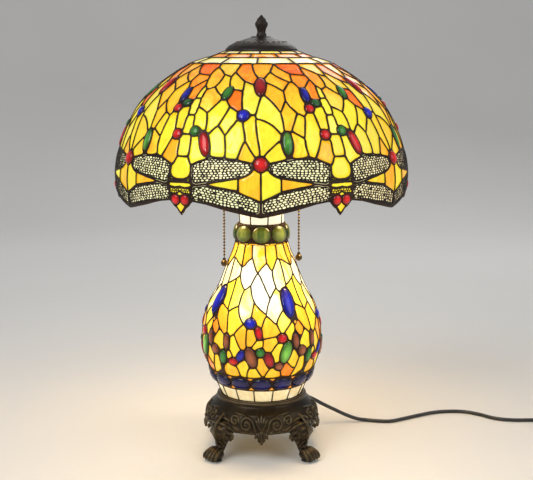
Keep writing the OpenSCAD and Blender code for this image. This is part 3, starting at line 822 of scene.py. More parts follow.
sh = Panel(SHADE, 60.0, -50.4, 236.0, w=1.26, cap=1.3, rim=rim_s)
A = sh.add
A([(-31.6, 0), (-15, 0), (-15.3, 10), (-16.3, 21), (-17, 26), (-17.6, 32.5), (-22.6, 27.3), (-31, 8)], Y, PA)
A([(-15, 0), (-6.8, 0), (-5.7, 12), (-4.2, 24), (-1.9, 34), (-3.2, 41), (-4.7, 48), (-8.9, 41.3), (-12.4, 33), (-16.3, 21), (-15.3, 9)], AM, OR)
A([(-6.8, 0), (9.2, 0), (7.6, 9), (5.6, 21), (3.5, 29), (2.2, 34), (-1.9, 34), (-4.2, 24), (-5.7, 12)], Y, AM)
A([(5.7, 22), (9, 32), (12, 38), (14, 41), (14.8, 44.5), (13, 52), (11, 61), (9, 56.5), (6.3, 50), (2.9, 44.5), (2.4, 37), (3.6, 29)], Y, AM)
A([(9.4, 2), (12, 12), (15, 20), (18, 26), (17.5, 34), (16.6, 43.3), (14, 41), (9, 31.5), (6, 21.3), (7.8, 10)], Y, AM)
A([(15.8, 43.8), (17.6, 46), (18.6, 53), (19, 62), (18.5, 73), (19.1, 84), (18.7, 101.5), (15, 94.6), (12.4, 86), (11.2, 76), (11, 62), (13.2, 52.5)], Y, AM)
A([(9.6, 0), (28.4, 0), (28.2, 9), (27.4, 20), (27.5, 29), (22.5, 28.3), (18, 26), (15, 20), (12, 12)], OR, OD)
A([(18, 26), (22.5, 28.3), (27.5, 29.5), (28.5, 38), (25.8, 45), (23, 53), (20.3, 56), (18.6, 48), (17.6, 41), (17.5, 34)], AM, OR)
A([(2.9, 44.5), (6.3, 50), (9, 56.5), (11, 62), (11, 72), (10.3, 82), (8.8, 91), (8.1, 96), (6.8, 88), (4.5, 78), (2, 69.5), (2.4, 60), (3.1, 50)], AM, Y)
A([(0, 71.5), (2, 69.5), (4.5, 78), (6.8, 88), (8.1, 96), (8.7, 108), (8.6, 119), (7.8, 124), (4.5, 113.5), (1.5, 107.5), (-1.9, 104.5), (-1.9, 96), (-1, 83)], PA, YG)
A([(-8.9, 41.3), (-4.7, 48), (-3.4, 55), (-2.8, 64), (-1.2, 70), (0, 71.5), (-1, 83), (-2, 97), (-3.2, 99.5), (-5, 96), (-7.2, 92.5), (-8.1, 86), (-8.6, 75), (-8.7, 61), (-8.8, 52)], PA, YG)
A([(-16.3, 21.5), (-12.4, 33), (-8.9, 41.5), (-8.8, 52), (-8.8, 60.5), (-12, 58), (-15, 54.5), (-16.3, 51), (-17.2, 42), (-17.6, 33), (-17.2, 27)], Y, YB)
A([(-22.6, 27.5), (-20, 30), (-17.6, 33), (-17.3, 42), (-16.5, 50), (-16.2, 53), (-18, 58), (-19, 69), (-21.5, 63), (-24.2, 53), (-23, 46), (-22.5, 37)], YB, Y)
A([(-31.8, 9), (-22.6, 27.5), (-22.7, 36), (-23.1, 45), (-24.3, 52.5), (-27.2, 58), (-29.9, 51.5), (-31.4, 38), (-32.5, 29), (-32.6, 20)], Y, AM)
A([(-27.2, 58), (-24.4, 53.5), (-22, 61.5), (-19.8, 67.5), (-18.4, 75.5), (-19.5, 82), (-21.3, 90), (-23, 97), (-25, 92.5), (-28.2, 88), (-28.4, 75), (-28.4, 64)], PA, AM)
A([(-13.3, 59), (-8.8, 61), (-8.6, 75), (-8.2, 88), (-8.4, 92.5), (-10.5, 93), (-12.5, 88.5), (-13.5, 86.5), (-15.2, 80), (-14.6, 75), (-13.8, 66)], OR, OD)
A([(-18.5, 77), (-16.2, 77.5), (-15, 80.5), (-13.6, 87), (-14.3, 95), (-15.6, 105), (-17, 113.5), (-18.8, 118), (-20.4, 125), (-22, 119), (-22, 110), (-22.9, 99), (-23, 97), (-21.3, 90), (-19.4, 82)], YB, YG)
A([(-28.2, 88), (-26.2, 90.5), (-24.2, 94.5), (-23, 98), (-22.4, 106), (-22.1, 115), (-22.3, 120), (-25, 116.5), (-28, 116), (-28.3, 105)], YB, YG)
A([(-13.5, 87.5), (-11, 92), (-10.2, 97), (-10, 104), (-10.6, 112), (-12.4, 119), (-13.8, 127), (-15.2, 121), (-17, 114), (-15.6, 105), (-14.3, 96)], YG, YB)
A([(-17, 115), (-15, 121.5), (-13.9, 129), (-13.2, 140), (-13, 155), (-18.5, 153.5), (-18.7, 142), (-19.6, 131), (-20.3, 126), (-18.7, 119.5)], PA, YG)
A([(-9.5, 108), (-7.6, 109.5), (-6.8, 118), (-6, 127), (-6, 133), (-7.2, 142), (-8.5, 157), (-13, 155.5), (-13.2, 141), (-13.9, 129), (-12.2, 119), (-10.5, 112)], PA, YG)
A([(-7, 110), (-4.7, 104), (-3.6, 100), (-2.3, 100), (-2, 113), (-1.4, 130), (-0.3, 148), (-1.7, 154), (-3.5, 148), (-5, 138), (-5.9, 133), (-6.5, 121)], YB, Y)
A([(-6, 134), (-4.6, 143), (-2.9, 152), (-2.6, 158), (-3.8, 161), (-8.4, 157.5), (-7.6, 147)], AM, Y)
A([(-1.9, 104.5), (1.5, 107.5), (4.5, 113.5), (6.6, 121), (7.2, 127), (6.7, 134), (4.5, 142), (1.5, 150), (0.3, 152.5), (-0.4, 146), (-1.2, 130), (-1.9, 113)], Y, YB)
A([(6.8, 135.5), (7.4, 143), (8.7, 155), (8.6, 157.5), (3.3, 162), (1.7, 156), (2.4, 150), (4.6, 142)], Y, YB)
A([(11, 79), (12.3, 87), (14.8, 97), (14, 105), (12.3, 116), (11.8, 121), (9.5, 120.5), (9, 108), (8.3, 97), (9.2, 91), (10.4, 83)], Y, AM)
A([(15.2, 98.5), (18, 104), (17.4, 117), (16.8, 131), (14.6, 126.5), (12.3, 121.5), (13.5, 112)], YB, Y)
A([(19.4, 98.5), (22.3, 98), (22.8, 105), (23.4, 117), (23.3, 131), (21.8, 146), (20.5, 154), (19.6, 156.5), (18.2, 154), (17, 143), (17.1, 131), (17.7, 117), (18.6, 105)], YB, Y)
A([(12.2, 122.5), (14.5, 127), (16.8, 132), (16.8, 143), (17.4, 155), (11.8, 156.5), (12.4, 147), (12.5, 136), (11.6, 127)], YB, AM)
A([(24, 90.5), (27.6, 88), (27.9, 100), (27.6, 118), (27.4, 120), (24.3, 120), (23.6, 112), (22.6, 99)], Y, YB)
A([(23.5, 134), (25.2, 135), (27.3, 135.5), (27.4, 147), (27.2, 162), (26, 165), (23, 161), (20.6, 157), (21.5, 150), (22.8, 140)], AM, Y)
A([(28.4, 39), (29.2, 50), (28.9, 57), (28.2, 68), (27.7, 76), (24.5, 76.5), (23.7, 68), (22.9, 58), (24, 52), (26, 45)], OR, AM)
A([(-27.6, 128.5), (-25, 129), (-24.3, 133), (-23.6, 142), (-22, 150), (-20.5, 155), (-20.3, 157), (-23, 160), (-25.7, 164.5), (-26.7, 160), (-27, 150), (-27.3, 138)], PA, YB)
# between the wings
A([(-0.4, 173), (-0.4, 208.5), (-7.6, 199), (-7.6, 184), (-5.5, 180), (-3.5, 176), (-2.2, 171.5)], Y, AM, smooth=0)
A([(0.4, 174), (1.8, 172), (3.2, 176), (5, 180.5), (6.8, 184), (6.8, 198), (0.5, 208.5)], YB, YG, smooth=0)
A([(-18.5, 190), (-8.2, 183), (-8.2, 195)], YG, Y, smooth=0)
A([(18, 189.5), (7.5, 183.5), (7.5, 196)], Y, AM, smooth=0)
# the dragonfly: tail, thorax, and the small pieces of the head
A([(30, 52), (30.9, 57), (31.3, 65), (31.5, 73.5), (28.5, 73.5), (28.7, 65), (29.1, 57)], PA, YG, inset=1.1)
A([(28.45, 75), (31.55, 75), (31.8, 88), (31.8, 99.5), (28.2, 99.5), (28.2, 88)], PA, YG, inset=1.1)
A([(28.2, 101.5), (31.8, 101.5), (32.1, 113), (32.0, 125.5), (28.0, 125.5), (27.9, 113)], PA, YB, inset=1.1)
A([(27.9, 128), (32.1, 128), (32.5, 141), (32.3, 155), (27.7, 155), (27.5, 141)], PA, YB, inset=1.1)
A([(27.7, 157), (32.3, 157), (33.3, 166), (33.7, 175), (33.0, 180.5), (31.2, 183.2), (28.8, 183.2), (27, 180.5), (26.3, 175), (26.7, 166)], YB, YG, inset=1.1)
A([(25.8, 184.6), (28.2, 186.6), (31.8, 186.6), (34.2, 184.6), (34.2, 188.2), (25.8, 188.2)], YB, YB, kind="fili_yellow", smooth=0, inset=0.5)
A([(25.8, 188.8), (34.2, 188.8), (34.2, 193.6), (32.2, 194.6), (30, 193.2), (27.8, 194.6), (25.8, 193.6)], YB, YG, smooth=0, inset=0.9)
A([(25.8, 194.8), (27.8, 195.8), (30, 194.4), (32.2, 195.8), (34.2, 194.8), (34.2, 202.6), (31.6, 202.6), (30, 199.6), (28.4, 202.6), (25.8, 202.6)], YB, YB, kind="fili_yellow", smooth=0, inset=0.4)
A([(30, 199.6), (31.9, 204.4), (28.1, 204.4)], YB, YB, smooth=0, inset=0.7)
A([(27.9, 216.6), (30, 213.4), (32.1, 216.6), (31.6, 220), (30, 226), (28.4, 220)], Y, YB, smooth=1, inset=1.0)
# the cabochons
J = sh.jewel
J(-0.3, 52.5, 6.6, 16.6, RED, cb=DRED)
J(-7.2, 100, 7.0, 7.2, BLU)
J(-16.2, 64.5, 5.1, 11.4, GRN, tilt=12)
J(-26.6, 122.5, 6.0, 6.2, GRN)
J(-21.6, 139, 5.9, 15.4, RED, tilt=-16)
J(25.5, 127, 6.2, 6.2, RED)
J(10, 137.5, 5.8, 14.2, LGRN, cb=GRN)
J(21.2, 68, 4.8, 12.2, DBLU, cb=BLU)
J(25.0, 82, 5.8, 5.3, DGRN)
J(21.2, 90.6, 5.5, 5.5, RED)
J(0, 164.5, 8.4, 8.6, RED, dome=4.2)
J(28.05, 210.6, 5.6, 6.1, RED, dome=3.0)
J(31.95, 210.6, 5.6, 6.1, RED, dome=3.0)

WUR = [(3.3, 170), (4, 163.5), (6, 161.5), (9, 160), (12, 159), (15, 157.8), (18, 157), (20, 159), (22, 161.5), (24.5, 165.5), (25, 168), (25, 180), (24.3, 189.5), (20, 187), (15, 184), (10, 181.5), (6, 179), (4.5, 176), (3.6, 173)]
WLR = [(24, 194), (22, 193.5), (20, 192), (17, 193.5), (13, 195.5), (10, 197.5), (7, 200), (5, 204), (3, 207), (1, 210.5), (0.8, 216), (1, 224), (6, 221.5), (9, 219.5), (12, 217.5), (16, 214.5), (20, 212.8), (24, 212.5), (25, 208), (25.2, 200), (24.6, 196)]
for W_ in (WUR, WLR):
    A(W_, WH, (0.92, 0.90, 0.62), kind="wing", smooth=1, inset=1.0)
    A([(-a, b) for a, b in W_], WH, (0.92, 0.90, 0.62), kind="wing", smooth=1, inset=1.0)

# crown bands: white, amber and thin white
for n_, (s0, s1, ph, ca, cb) in enumerate([(-22.8, -0.9, -3, WH, PA), (-38.6, -23.6, -12, AM, OR), (-48.6, -39.4, -2, WH, PA)]):
    for k_ in range(2):
        a0 = -30 + ((ph + 30) % 30) + 30 * k_
        A([(a0, s0), (a0 + 10, s0), (a0 + 20, s0), (a0 + 30, s0), (a0 + 30, s1), (a0 + 20, s1), (a0 + 10, s1), (a0, s1)],
          ca, cb, smooth=0, inset=0.9, kind="crown")


lead = make_lead(sh, "shade_lead", "shade", 6, 0.95, 2.4, lift=0.95, rim=rim_s, plateau=0.85)

# rim wire
th_ = np.arange(0, 360, 0.5)
c_ = np.array([SHADE.pos(np.array([t]), np.array([rim_s(t)]), -1.3)[0] for t in th_])


def ring_tube(c, r, m=8, closed=True):
    n = len(c)
    t = np.roll(c, -1, 0) - np.roll(c, 1, 0) if closed else np.gradient(c, axis=0)
    t /= np.linalg.norm(t, axis=1)[:, None]
    up = np.tile([0.0, 0.0, 1.0], (n, 1))
    a = np.cross(up, t)
    nn = np.linalg.norm(a, axis=1)
    a[nn < 1e-3] = [1, 0, 0]
    a /= np.linalg.norm(a, axis=1)[:, None]
    b = np.cross(t, a)
    rr = np.broadcast_to(np.asarray(r, float), (n,))
    q = np.arange(m) / m * 2 * math.pi
    V = (c[:, None, :] + rr[:, None, None] * (np.cos(q)[None, :, None] * a[:, None, :] + np.sin(q)[None, :, None] * b[:, None, :])).reshape(-1, 3)
    F = []
    e = n if closed else n - 1
    for i in range(e):
        for k in range(m):
            p, q1 = i * m + k, i * m + (k + 1) % m
            p2, q2 = ((i + 1) % n) * m + k, ((i + 1) % n) * m + (k + 1) % m
            F += [(p, q1, q2), (p, q2, p2)]
    if not closed:
        V = np.vstack([V, c[:1], c[-1:]])
        for k in range(m):
            F += [((k + 1) % m, k, n * m), ((n - 1) * m + k, (n - 1) * m + (k + 1) % m, n * m + 1)]
    return V, np.array(F)


V_, F_ = ring_tube(c_, 1.75)
rimw = mesh("shade_rim_wire", V_, F_, M_LEAD)
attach(rimw, "shade")
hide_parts("shade_rim_came", "shade_lead_rings")

rnd = random.Random(7)
NODE_OF = {"field": ("shade_field_glass",), "wing": ("shade_wing_panels",), "body": ("dragonfly_bodies",), "crown": ("shade_white_band", "shade_amber_band", "shade_thin_band")}
bags = {"field": Bag(), "wing": Bag(), "body": Bag(), "crown": Bag()}
jb = {"eyes": Bag(), "tips": Bag(), "dome": Bag()}


def vary(c, rnd, amt=0.07):
    k = 1 + rnd.uniform(-amt, amt)
    return tuple(max(0.0, x * k * (1 + rnd.uniform(-amt, amt) * 0.6)) for x in c)


for k in range(6):
    for gi, g in enumerate(sh.glass):
        V_, F_ = glass_mesh(sh, g, k, 2.6, rnd, None)
        cth = g["P"][:, 0].mean()
        key = "wing" if g["kind"] == "wing" else "crown" if g["kind"] == "crown" else "body" if abs(cth - 30) < 1.5 and g["P"][:, 1].min() > 50 else "field"
        ca, cb = g["ca"], g["cb"]
        if key == "field" and k != 0:
            roll = rnd.random()
            if roll < 0.25:
                ca, cb = cb, ca
        gl = glow_shade(V_) * (1 + rnd.uniform(-0.05, 0.05))
        # painted light: the glow of the white wings and of the white crown bands is raised and whitened, the amber
        # band's glow is shifted greener and less blue
        if key == "wing":
            gl = np.clip(gl * [1.18, 1.2, 2.0], 0, 1.2)
        if key == "crown":
            gl = gl * ([1.08, 1.42, 2.3] if g["P"][:, 1].mean() > -23 or g["P"][:, 1].mean() < -39 else [0.98, 1.15, 0.6])
        bags[key].put(V_, F_, vary(ca, rnd), vary(cb, rnd), gl, [rnd.uniform(0, 9) for _ in range(3)])
    for ji, j in enumerate(sh.jewels):
        V_, F_ = jewel_mesh(sh, j, k, 2.4)
        key = "eyes" if ji >= 11 else "tips" if ji == 10 else "dome"
        jb[key].put(V_, F_, gem(j["ca"]), gem(j["cb"], 1.35), 1.0, [rnd.uniform(0, 9) for _ in range(3)])
for key, b in bags.items():
    o = b.build("shade_glass_" + key, M_GLASS, "shade")
    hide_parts(*NODE_OF[key])
for key, nd in (("eyes", "dragonfly_eyes"), ("tips", "wingtip_jewels"), ("dome", None)):
    o = jb[key].build("shade_jewels_" + key, M_JEWEL, "shade")
    if nd:
        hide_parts(nd)


# pierced filigree over the wings
def filigree(panel, outline_g, name, body, repeats, step, cu, cvh, rib, T, seed, lift=0.45, drop=-0.2):
    """A thin pierced plate of brick-like cells over a piece of glass."""
    P = panel.outline(outline_g)
    c = P.mean(0)
    fx, fy = panel.flat(P[:, 0], P[:, 1], c)
    Q = np.stack([fx, fy], 1)
    d = Q - Q.mean(0)
    w, vec = np.linalg.eigh(d.T @ d)
    ax = vec[:, 1]
    if ax[0] < 0:
        ax = -ax
    ay = np.array([-ax[1], ax[0]])
    U, Wv = Q @ ax, Q @ ay
    u = np.arange(U.min() - 1, U.max() + 1 + step, step)
    v = np.arange(Wv.min() - 1, Wv.max() + 1 + step, step)
    UU, VV = np.meshgrid(u, v)
    X = UU * ax[0] + VV * ay[0]
    Yy = UU * ax[1] + VV * ay[1]
    dp = poly_sdf(X.ravel(), Yy.ravel(), Q).reshape(X.shape)
    rs = np.random.RandomState(seed)
    nu, nv = int((u[-1] - u[0]) / cu) + 6, int((v[-1] - v[0]) / cvh) + 6
    ju, jv = rs.uniform(-0.36, 0.36, (nv, nu)) * cu, rs.uniform(-0.20, 0.20, (nv, nu)) * cvh
    wr = rs.uniform(-0.12, 0.16, (nv, nu)) + (rs.uniform(0, 1, (nv, nu)) < 0.012) * 0.8
    wn = np.zeros(X.shape)
    ri = np.floor((VV - v[0]) / cvh).astype(int) + 2
    b1 = np.full(X.shape, 1e9)
    b2 = np.full(X.shape, 1e9)
    for dr in (-1, 0, 1):
        rr = ri + dr
        odd = (rr % 2) * 0.5
        ci = np.floor((UU - u[0]) / cu - odd).astype(int) + 2
        for dc in (-1, 0, 1):
            cc = ci + dc
            r_, c_ = np.clip(rr, 0, nv - 1), np.clip(cc, 0, nu - 1)
            su = (cc - 2 + 0.5 + odd) * cu + u[0] + ju[r_, c_]
            sv = (rr - 2 + 0.5) * cvh + v[0] + jv[r_, c_]
            dd = (np.abs((UU - su) * cvh / cu * 0.95) ** 3 + np.abs(VV - sv) ** 3) ** (1 / 3)
            wn = np.where(dd < b1, wr[r_, c_], wn)
            nb = np.minimum(b1, dd)
            b2 = np.where(dd < b1, b1, np.minimum(b2, dd))
            b1 = nb
    ribv = rib + wn - (b2 - b1) * 0.5
    # shaded here and there by thicker ribs
    val = np.minimum(np.maximum(ribv, dp + 0.8), 0.9 - dp)
    i, j, w_, F = march(len(u), len(v), val)
    xx = X.ravel()[i] * (1 - w_) + X.ravel()[j] * w_
    yy = Yy.ravel()[i] * (1 - w_) + Yy.ravel()[j] * w_
    rv = np.clip((ribv.ravel()[i] * (1 - w_) + ribv.ravel()[j] * w_) / rib, 0, 1)
    s = yy + c[1]
    th = xx / (RAD * panel.f.r(s)) + c[0]
    top = panel.f.pos(th, s, 0.15 + lift * np.sqrt(rv))
    bot = panel.f.pos(th, s, drop + 0 * rv)
    p0, p1, p2 = top[F[:, 0]], top[F[:, 1]], top[F[:, 2]]
    nrm = np.cross(p1 - p0, p2 - p0)
    flip = np.einsum("ij,ij->i", nrm, p0 * [1, 1, 0]) < 0
    F = np.where(flip[:, None], F[:, ::-1], F)
    V, FF = solid_from(F, top, bot)
    return V, FF


fb = {}
n_f = 0
for k_, g in enumerate(sh.glass):
    if g["kind"] == "wing":
        V_, F_ = filigree(sh, g, "", "shade", 6, 0.62, 5.0, 3.0, 0.45, 60, 11 + k_)
    elif g["kind"] == "fili_yellow":
        V_, F_ = filigree(sh, g, "", "shade", 6, 0.55, 3.4, 2.9, 0.45, 60, 31 + k_)
    else:
        continue
    fb[k_] = (V_, F_)
for k in range(6):
    VV, FF, n0 = [], [], 0
    for V_, F_ in fb.values():
        VV.append(turned(V_, 60 * k))
        FF.append(F_ + n0)
        n0 += len(V_)
    o = mesh(f"wing_filigree_{k + 1}", np.vstack(VV), np.vstack(FF), M_FILI, smooth=False)
    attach(o, "shade")
    n_f += sum(len(f) for f in FF)
print("filigree faces", n_f)


# ---------------------------------------------------------------- the urn
URN = Surf([(37, 302.2), (41.2, 289), (47.2, 275), (52.8, 260), (58.4, 246), (65.8, 231), (73.8, 216.5), (79.3, 202), (83, 187),
            (84.8, 172), (84.6, 158), (82.5, 144), (79.5, 132), (75.5, 123)], s0=28.6)
URN.NR, URN.NZ = np.where(URN.NR < 0, -URN.NR, URN.NR), np.where(URN.NR < 0, -URN.NZ, URN.NZ)
ur = Panel(URN, 90.0, 27.6, 219.6, w=1.0, cap=1.25, ring=1.3)
A = ur.add
A([(-36.5, 28.6), (-19.5, 28.6), (-18.8, 36), (-17, 47.5), (-21, 49.5), (-26, 54), (-29, 58.5), (-33.5, 60.5), (-34.5, 56), (-36, 44)], AM, Y)
A([(-19.5, 28.6), (8, 28.6), (7.8, 42), (9, 54.5), (5, 57), (0, 61.5), (-5, 67.5), (-8, 65.5), (-11.5, 58), (-15, 50.5), (-17, 47.5), (-18.8, 36)], Y, WH)
A([(8, 28.6), (30.5, 28.6), (31.5, 34), (31, 42), (29.5, 48), (25.5, 53), (20.5, 60.5), (17.5, 65), (15, 63.5), (11.5, 57.5), (9, 54.5), (7.8, 42)], AM, YB)
A([(30.5, 28.6), (53.5, 28.6), (54, 44), (55.5, 56), (56, 60.5), (51, 57.5), (45, 54.5), (40, 51.5), (35, 49), (30, 48.5), (31, 42), (31.5, 34)], AM, PA)
A([(35, 50), (40, 51.5), (45, 54.5), (51, 57.5), (56, 60.5), (56.2, 72.5), (53, 75), (47.5, 79.5), (41.5, 83.5), (36.5, 85.5), (36, 76), (35.5, 66), (35, 58)], PA, WH)
A([(-34, 61), (-29, 58.5), (-26, 54), (-21, 49.5), (-17, 47.5), (-15, 50.5), (-11.5, 58), (-8, 65.5), (-6, 68.5), (-9, 73), (-12, 79), (-14.5, 85), (-18, 89), (-22, 92.5), (-25, 90), (-28.5, 85), (-31.5, 79), (-33.8, 72.5)], WH, WH)
A([(-5, 67.5), (0, 61.5), (5, 57), (9, 54.5), (11.5, 57.5), (15, 63.5), (17.5, 65), (17, 72), (18, 80), (20, 88), (17.5, 92), (14, 98), (10.5, 104.5), (8, 97), (4.5, 88), (1, 79), (-2.5, 72)], WH, WH)
A([(-6, 68.5), (-2.5, 72), (1, 79), (4.5, 88), (8, 97), (10.5, 104.5), (8.5, 110), (6.5, 117), (5, 125.5), (1, 122), (-4, 116), (-7.5, 110.5), (-10.5, 104), (-13, 96), (-14.5, 88), (-14.5, 85), (-12, 79), (-9, 73)], WH, WH)
A([(30, 48.5), (32.5, 50), (34.8, 60), (35.5, 68), (36, 76), (35.5, 83), (33.5, 87.5), (28, 89.5), (23.5, 93.5), (21.5, 92.5), (20, 88), (18, 80), (17, 72), (17.5, 65), (20.5, 60.5), (25.5, 53)], WH, PA)
A([(-53.5, 86.5), (-48, 83.5), (-42, 79.5), (-39.3, 77.5), (-39.4, 90), (-39.4, 102), (-39.2, 112), (-38.3, 122.5), (-42.5, 119.5), (-47, 115.5), (-47.5, 108), (-49, 99), (-51.5, 92)], YB, Y)
A([(-39.3, 77.5), (-36.5, 76), (-34.5, 73), (-33.3, 73.5), (-31.5, 79), (-28.5, 85), (-25, 90), (-23, 93), (-25, 100), (-25.8, 108), (-26, 115), (-28.5, 117.5), (-33, 121), (-36.5, 124), (-38.3, 122.5), (-39.2, 112), (-39.4, 102), (-39.4, 90)], PA, YB)
A([(-22, 92.5), (-18, 89), (-15.5, 86.5), (-14.2, 90), (-13, 96), (-10.5, 104), (-8.5, 109), (-9, 117), (-9.8, 125), (-12, 131), (-15, 136), (-17.5, 139), (-20, 136.5), (-22.5, 131), (-24.5, 124), (-25.5, 115), (-25.8, 108), (-25, 100), (-23, 93)], WH, PA)
A([(-8.5, 110), (-6.5, 112.5), (-2, 119), (2, 124), (4.5, 127.5), (2.5, 131), (1, 137), (-0.5, 144), (-3, 141), (-5.5, 136), (-8, 131.5), (-9.5, 127.5), (-9.2, 119)], Y, AM)
A([(10.5, 105), (14, 98), (17.5, 92.5), (20, 90), (22.5, 94), (23.3, 103), (23.3, 114), (22.8, 122), (19, 127), (16, 134), (14.2, 139.5), (11, 136), (8, 131), (5.5, 127), (6.5, 118), (8.5, 111)], WH, YB)
A([(-50, 119.5), (-46.8, 116.5), (-42.5, 120), (-38, 123.5), (-37, 128), (-36.3, 137), (-35.5, 147), (-36, 153.5), (-38, 155.5), (-41.5, 150.5), (-45.5, 144), (-49.5, 138), (-50, 130)], AM, Y)
A([(-36, 125), (-33, 121.5), (-29, 118), (-26, 117), (-24.8, 123), (-23, 130), (-20.5, 136), (-18.5, 140), (-22, 145), (-26, 151), (-30.5, 158), (-33, 154), (-34.5, 146), (-35.5, 137), (-36.3, 130)], Y, YB)
A([(5.8, 129.5), (9, 133), (13, 139), (16, 146), (18, 152.5), (13, 155.5), (7, 157.5), (2, 158.5), (1.2, 152), (1.5, 145), (3, 136.5)], Y, AM)
A([(24, 124), (26.5, 130), (30.5, 138.5), (27, 143.5), (23.5, 148.5), (20.5, 153), (18.5, 149), (16.5, 141), (16.5, 136.5), (19.5, 129.5), (22.5, 124)], PA, YB)
A([(32, 139.5), (33, 144), (32.5, 149), (30.5, 156), (28.8, 163.5), (26.5, 160), (24, 152.5), (24.5, 150.5), (28.5, 144.5)], YB, Y)
A([(-18.5, 141.5), (-15.5, 145.5), (-15, 152), (-15, 165), (-15.2, 172.5), (-17, 175), (-19.5, 174.5), (-21.5, 169), (-24, 161.5), (-25.3, 156), (-23.5, 150.5)], Y, AM)
A([(-13.3, 148), (-8, 148), (-6.5, 153), (-5.3, 159.5), (-7, 164), (-9.5, 170.5), (-13.8, 170.5), (-14, 158)], AM, Y, smooth=1)
A([(-0.5, 161.5), (0.8, 164), (0.5, 170), (-2, 172), (-6.5, 174.5), (-8.5, 172.5), (-6, 167.5), (-3, 163.5)], Y, Y, smooth=1)
A([(3, 161), (9, 159.5), (14.5, 159), (16, 162.5), (14, 166.5), (11.5, 172), (9.5, 177), (4, 177.5), (2.5, 173), (2.8, 166)], Y, AM, smooth=1)
A([(16.5, 167.5), (19.5, 167.5), (20.5, 170), (18.5, 176.5), (17, 184), (16.5, 191.5), (14, 194.5), (12.5, 191), (11.5, 184.5), (9.8, 179.5), (12.5, 172)], Y, YB, smooth=1)
A([(-43.5, 153), (-40, 157.5), (-38.3, 161), (-38.8, 168), (-38, 175.5), (-41, 178.5), (-44.5, 175.5), (-51, 171.5), (-50.5, 168), (-47, 160)], YB, Y, smooth=1)
A([(-53, 140), (-50, 139), (-47.5, 145.5), (-46.5, 150.5), (-49.3, 158), (-53, 152.5), (-55, 146)], AM, OR, smooth=1)
A([(-28, 157.5), (-26.3, 159), (-24, 166), (-21.5, 172.5), (-20.3, 176.5), (-23, 181.5), (-25.5, 187), (-28, 185), (-29.8, 179), (-30, 170), (-30, 161.5)], YB, Y, smooth=1)
A([(-33, 180.5), (-30.5, 180.5), (-29, 184), (-30.5, 188.5), (-33.5, 191), (-34.8, 186)], YB, Y, smooth=1)
A([(-34, 197.5), (-30, 200), (-25.5, 202.5), (-24, 207.5), (-23.7, 214), (-28, 218.5), (-33, 221), (-37.5, 217.5), (-39.3, 212), (-38.5, 205)], Y, AM, smooth=1)
A([(-16, 191.5), (-13.8, 195.5), (-13.2, 200), (-15.2, 208.5), (-16.5, 218), (-19, 216.5), (-21.5, 213), (-22.5, 205.5), (-24.5, 200), (-20.5, 195.5)], YB, Y, smooth=1)
A([(-11.5, 204.5), (-5.5, 203), (-3, 209), (-0.8, 215.5), (-5, 218), (-10, 221), (-13.5, 219), (-14, 213)], YB, Y, smooth=1)
A([(-2.5, 187), (1.5, 187), (3, 193.5), (6.5, 202.5), (4, 208.5), (1.8, 214.5), (-1.5, 210), (-4.3, 202.5), (-3, 196.5)], Y, AM, smooth=1)
A([(10.5, 202.5), (14, 206), (18, 208.5), (19, 214.5), (14.5, 217), (11, 221), (7.5, 219), (3.8, 216.5), (7, 208.5)], Y, AM, smooth=1)
A([(24.5, 196.5), (27.5, 200), (31.5, 205), (34.5, 206), (32.5, 212), (30.5, 218), (26, 215.5), (21.5, 214), (20, 207), (21.5, 201)], OR, AM, smooth=1)
A([(31.5, 178), (33.5, 182), (37.3, 190.5), (36, 197), (34.5, 204.5), (31, 202), (27.5, 196), (26, 193.5), (29, 187)], YB, Y, smooth=1)
A([(43, 188), (44.5, 193), (44.8, 201), (44.8, 209), (40, 212), (36, 216), (33.5, 219), (31.5, 218.5), (34, 211.5), (36, 204), (38, 196.5), (40, 190)], YB, Y, smooth=1)
J = ur.jewel
J(31.4, 111.5, 8.6, 21.0, BLU, tilt=3)
J(-10.8, 138.8, 7.4, 6.6, BLU)
J(-2.5, 152, 4.3, 8.4, RED, tilt=-14)
J(19.8, 160, 6.6, 5.8, RED)
J(23.5, 179.8, 7.3, 15.2, GRN, tilt=16, cb=LGRN)
J(-0.9, 179, 5.7, 5.9, GRN)
J(7, 189.5, 5.9, 10.8, RED, tilt=-18, cb=DRED)
J(-9.8, 186.3, 6.9, 14.6, BRN, tilt=-16)
J(-20, 184.8, 4.6, 8.4, BLU, tilt=28, cb=DBLU)
J(-34.6, 166.5, 4.3, 10.4, BRN)
J(34.1, 165.5, 4.6, 10.4, BRN, tilt=-6)
J(-39, 189.5, 5.5, 9.8, GRN, tilt=12)
J(-27.8, 194.2, 6.7, 4.9, RED)
J(41.3, 180.3, 6.4, 6.8, BRN)
J(17, 199.6, 5.6, 5.4, BRN)
J(35.3, 139.6, 1.9, 2.1, AM, dome=1)

ulead = make_lead(ur, "urn_lead", "stand", 4, 0.85, 2.8, lift=0.85, plateau=0.75)
ub, ujb = Bag(), Bag()
for k in range(4):
    for g in ur.glass:
        V_, F_ = glass_mesh(ur, g, k, 3.0, rnd, None)
        ub.put(V_, F_, vary(g["ca"], rnd, 0.05), vary(g["cb"], rnd, 0.05), glow_urn(V_) * (1 + rnd.uniform(-0.05, 0.05)), [rnd.uniform(0, 9) for _ in range(3)])
    for j in ur.jewels:
        V_, F_ = jewel_mesh(ur, j, k, 2.8)
        ujb.put(V_, F_, gem(j["ca"]), gem(j["cb"], 1.35), 1.0, [rnd.uniform(0, 9) for _ in range(3)])
o = ub.build("urn_glass_pieces", M_GLASS, "stand")
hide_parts("urn_glass")
o = ujb.build("urn_jewels", M_JEWEL, "stand")


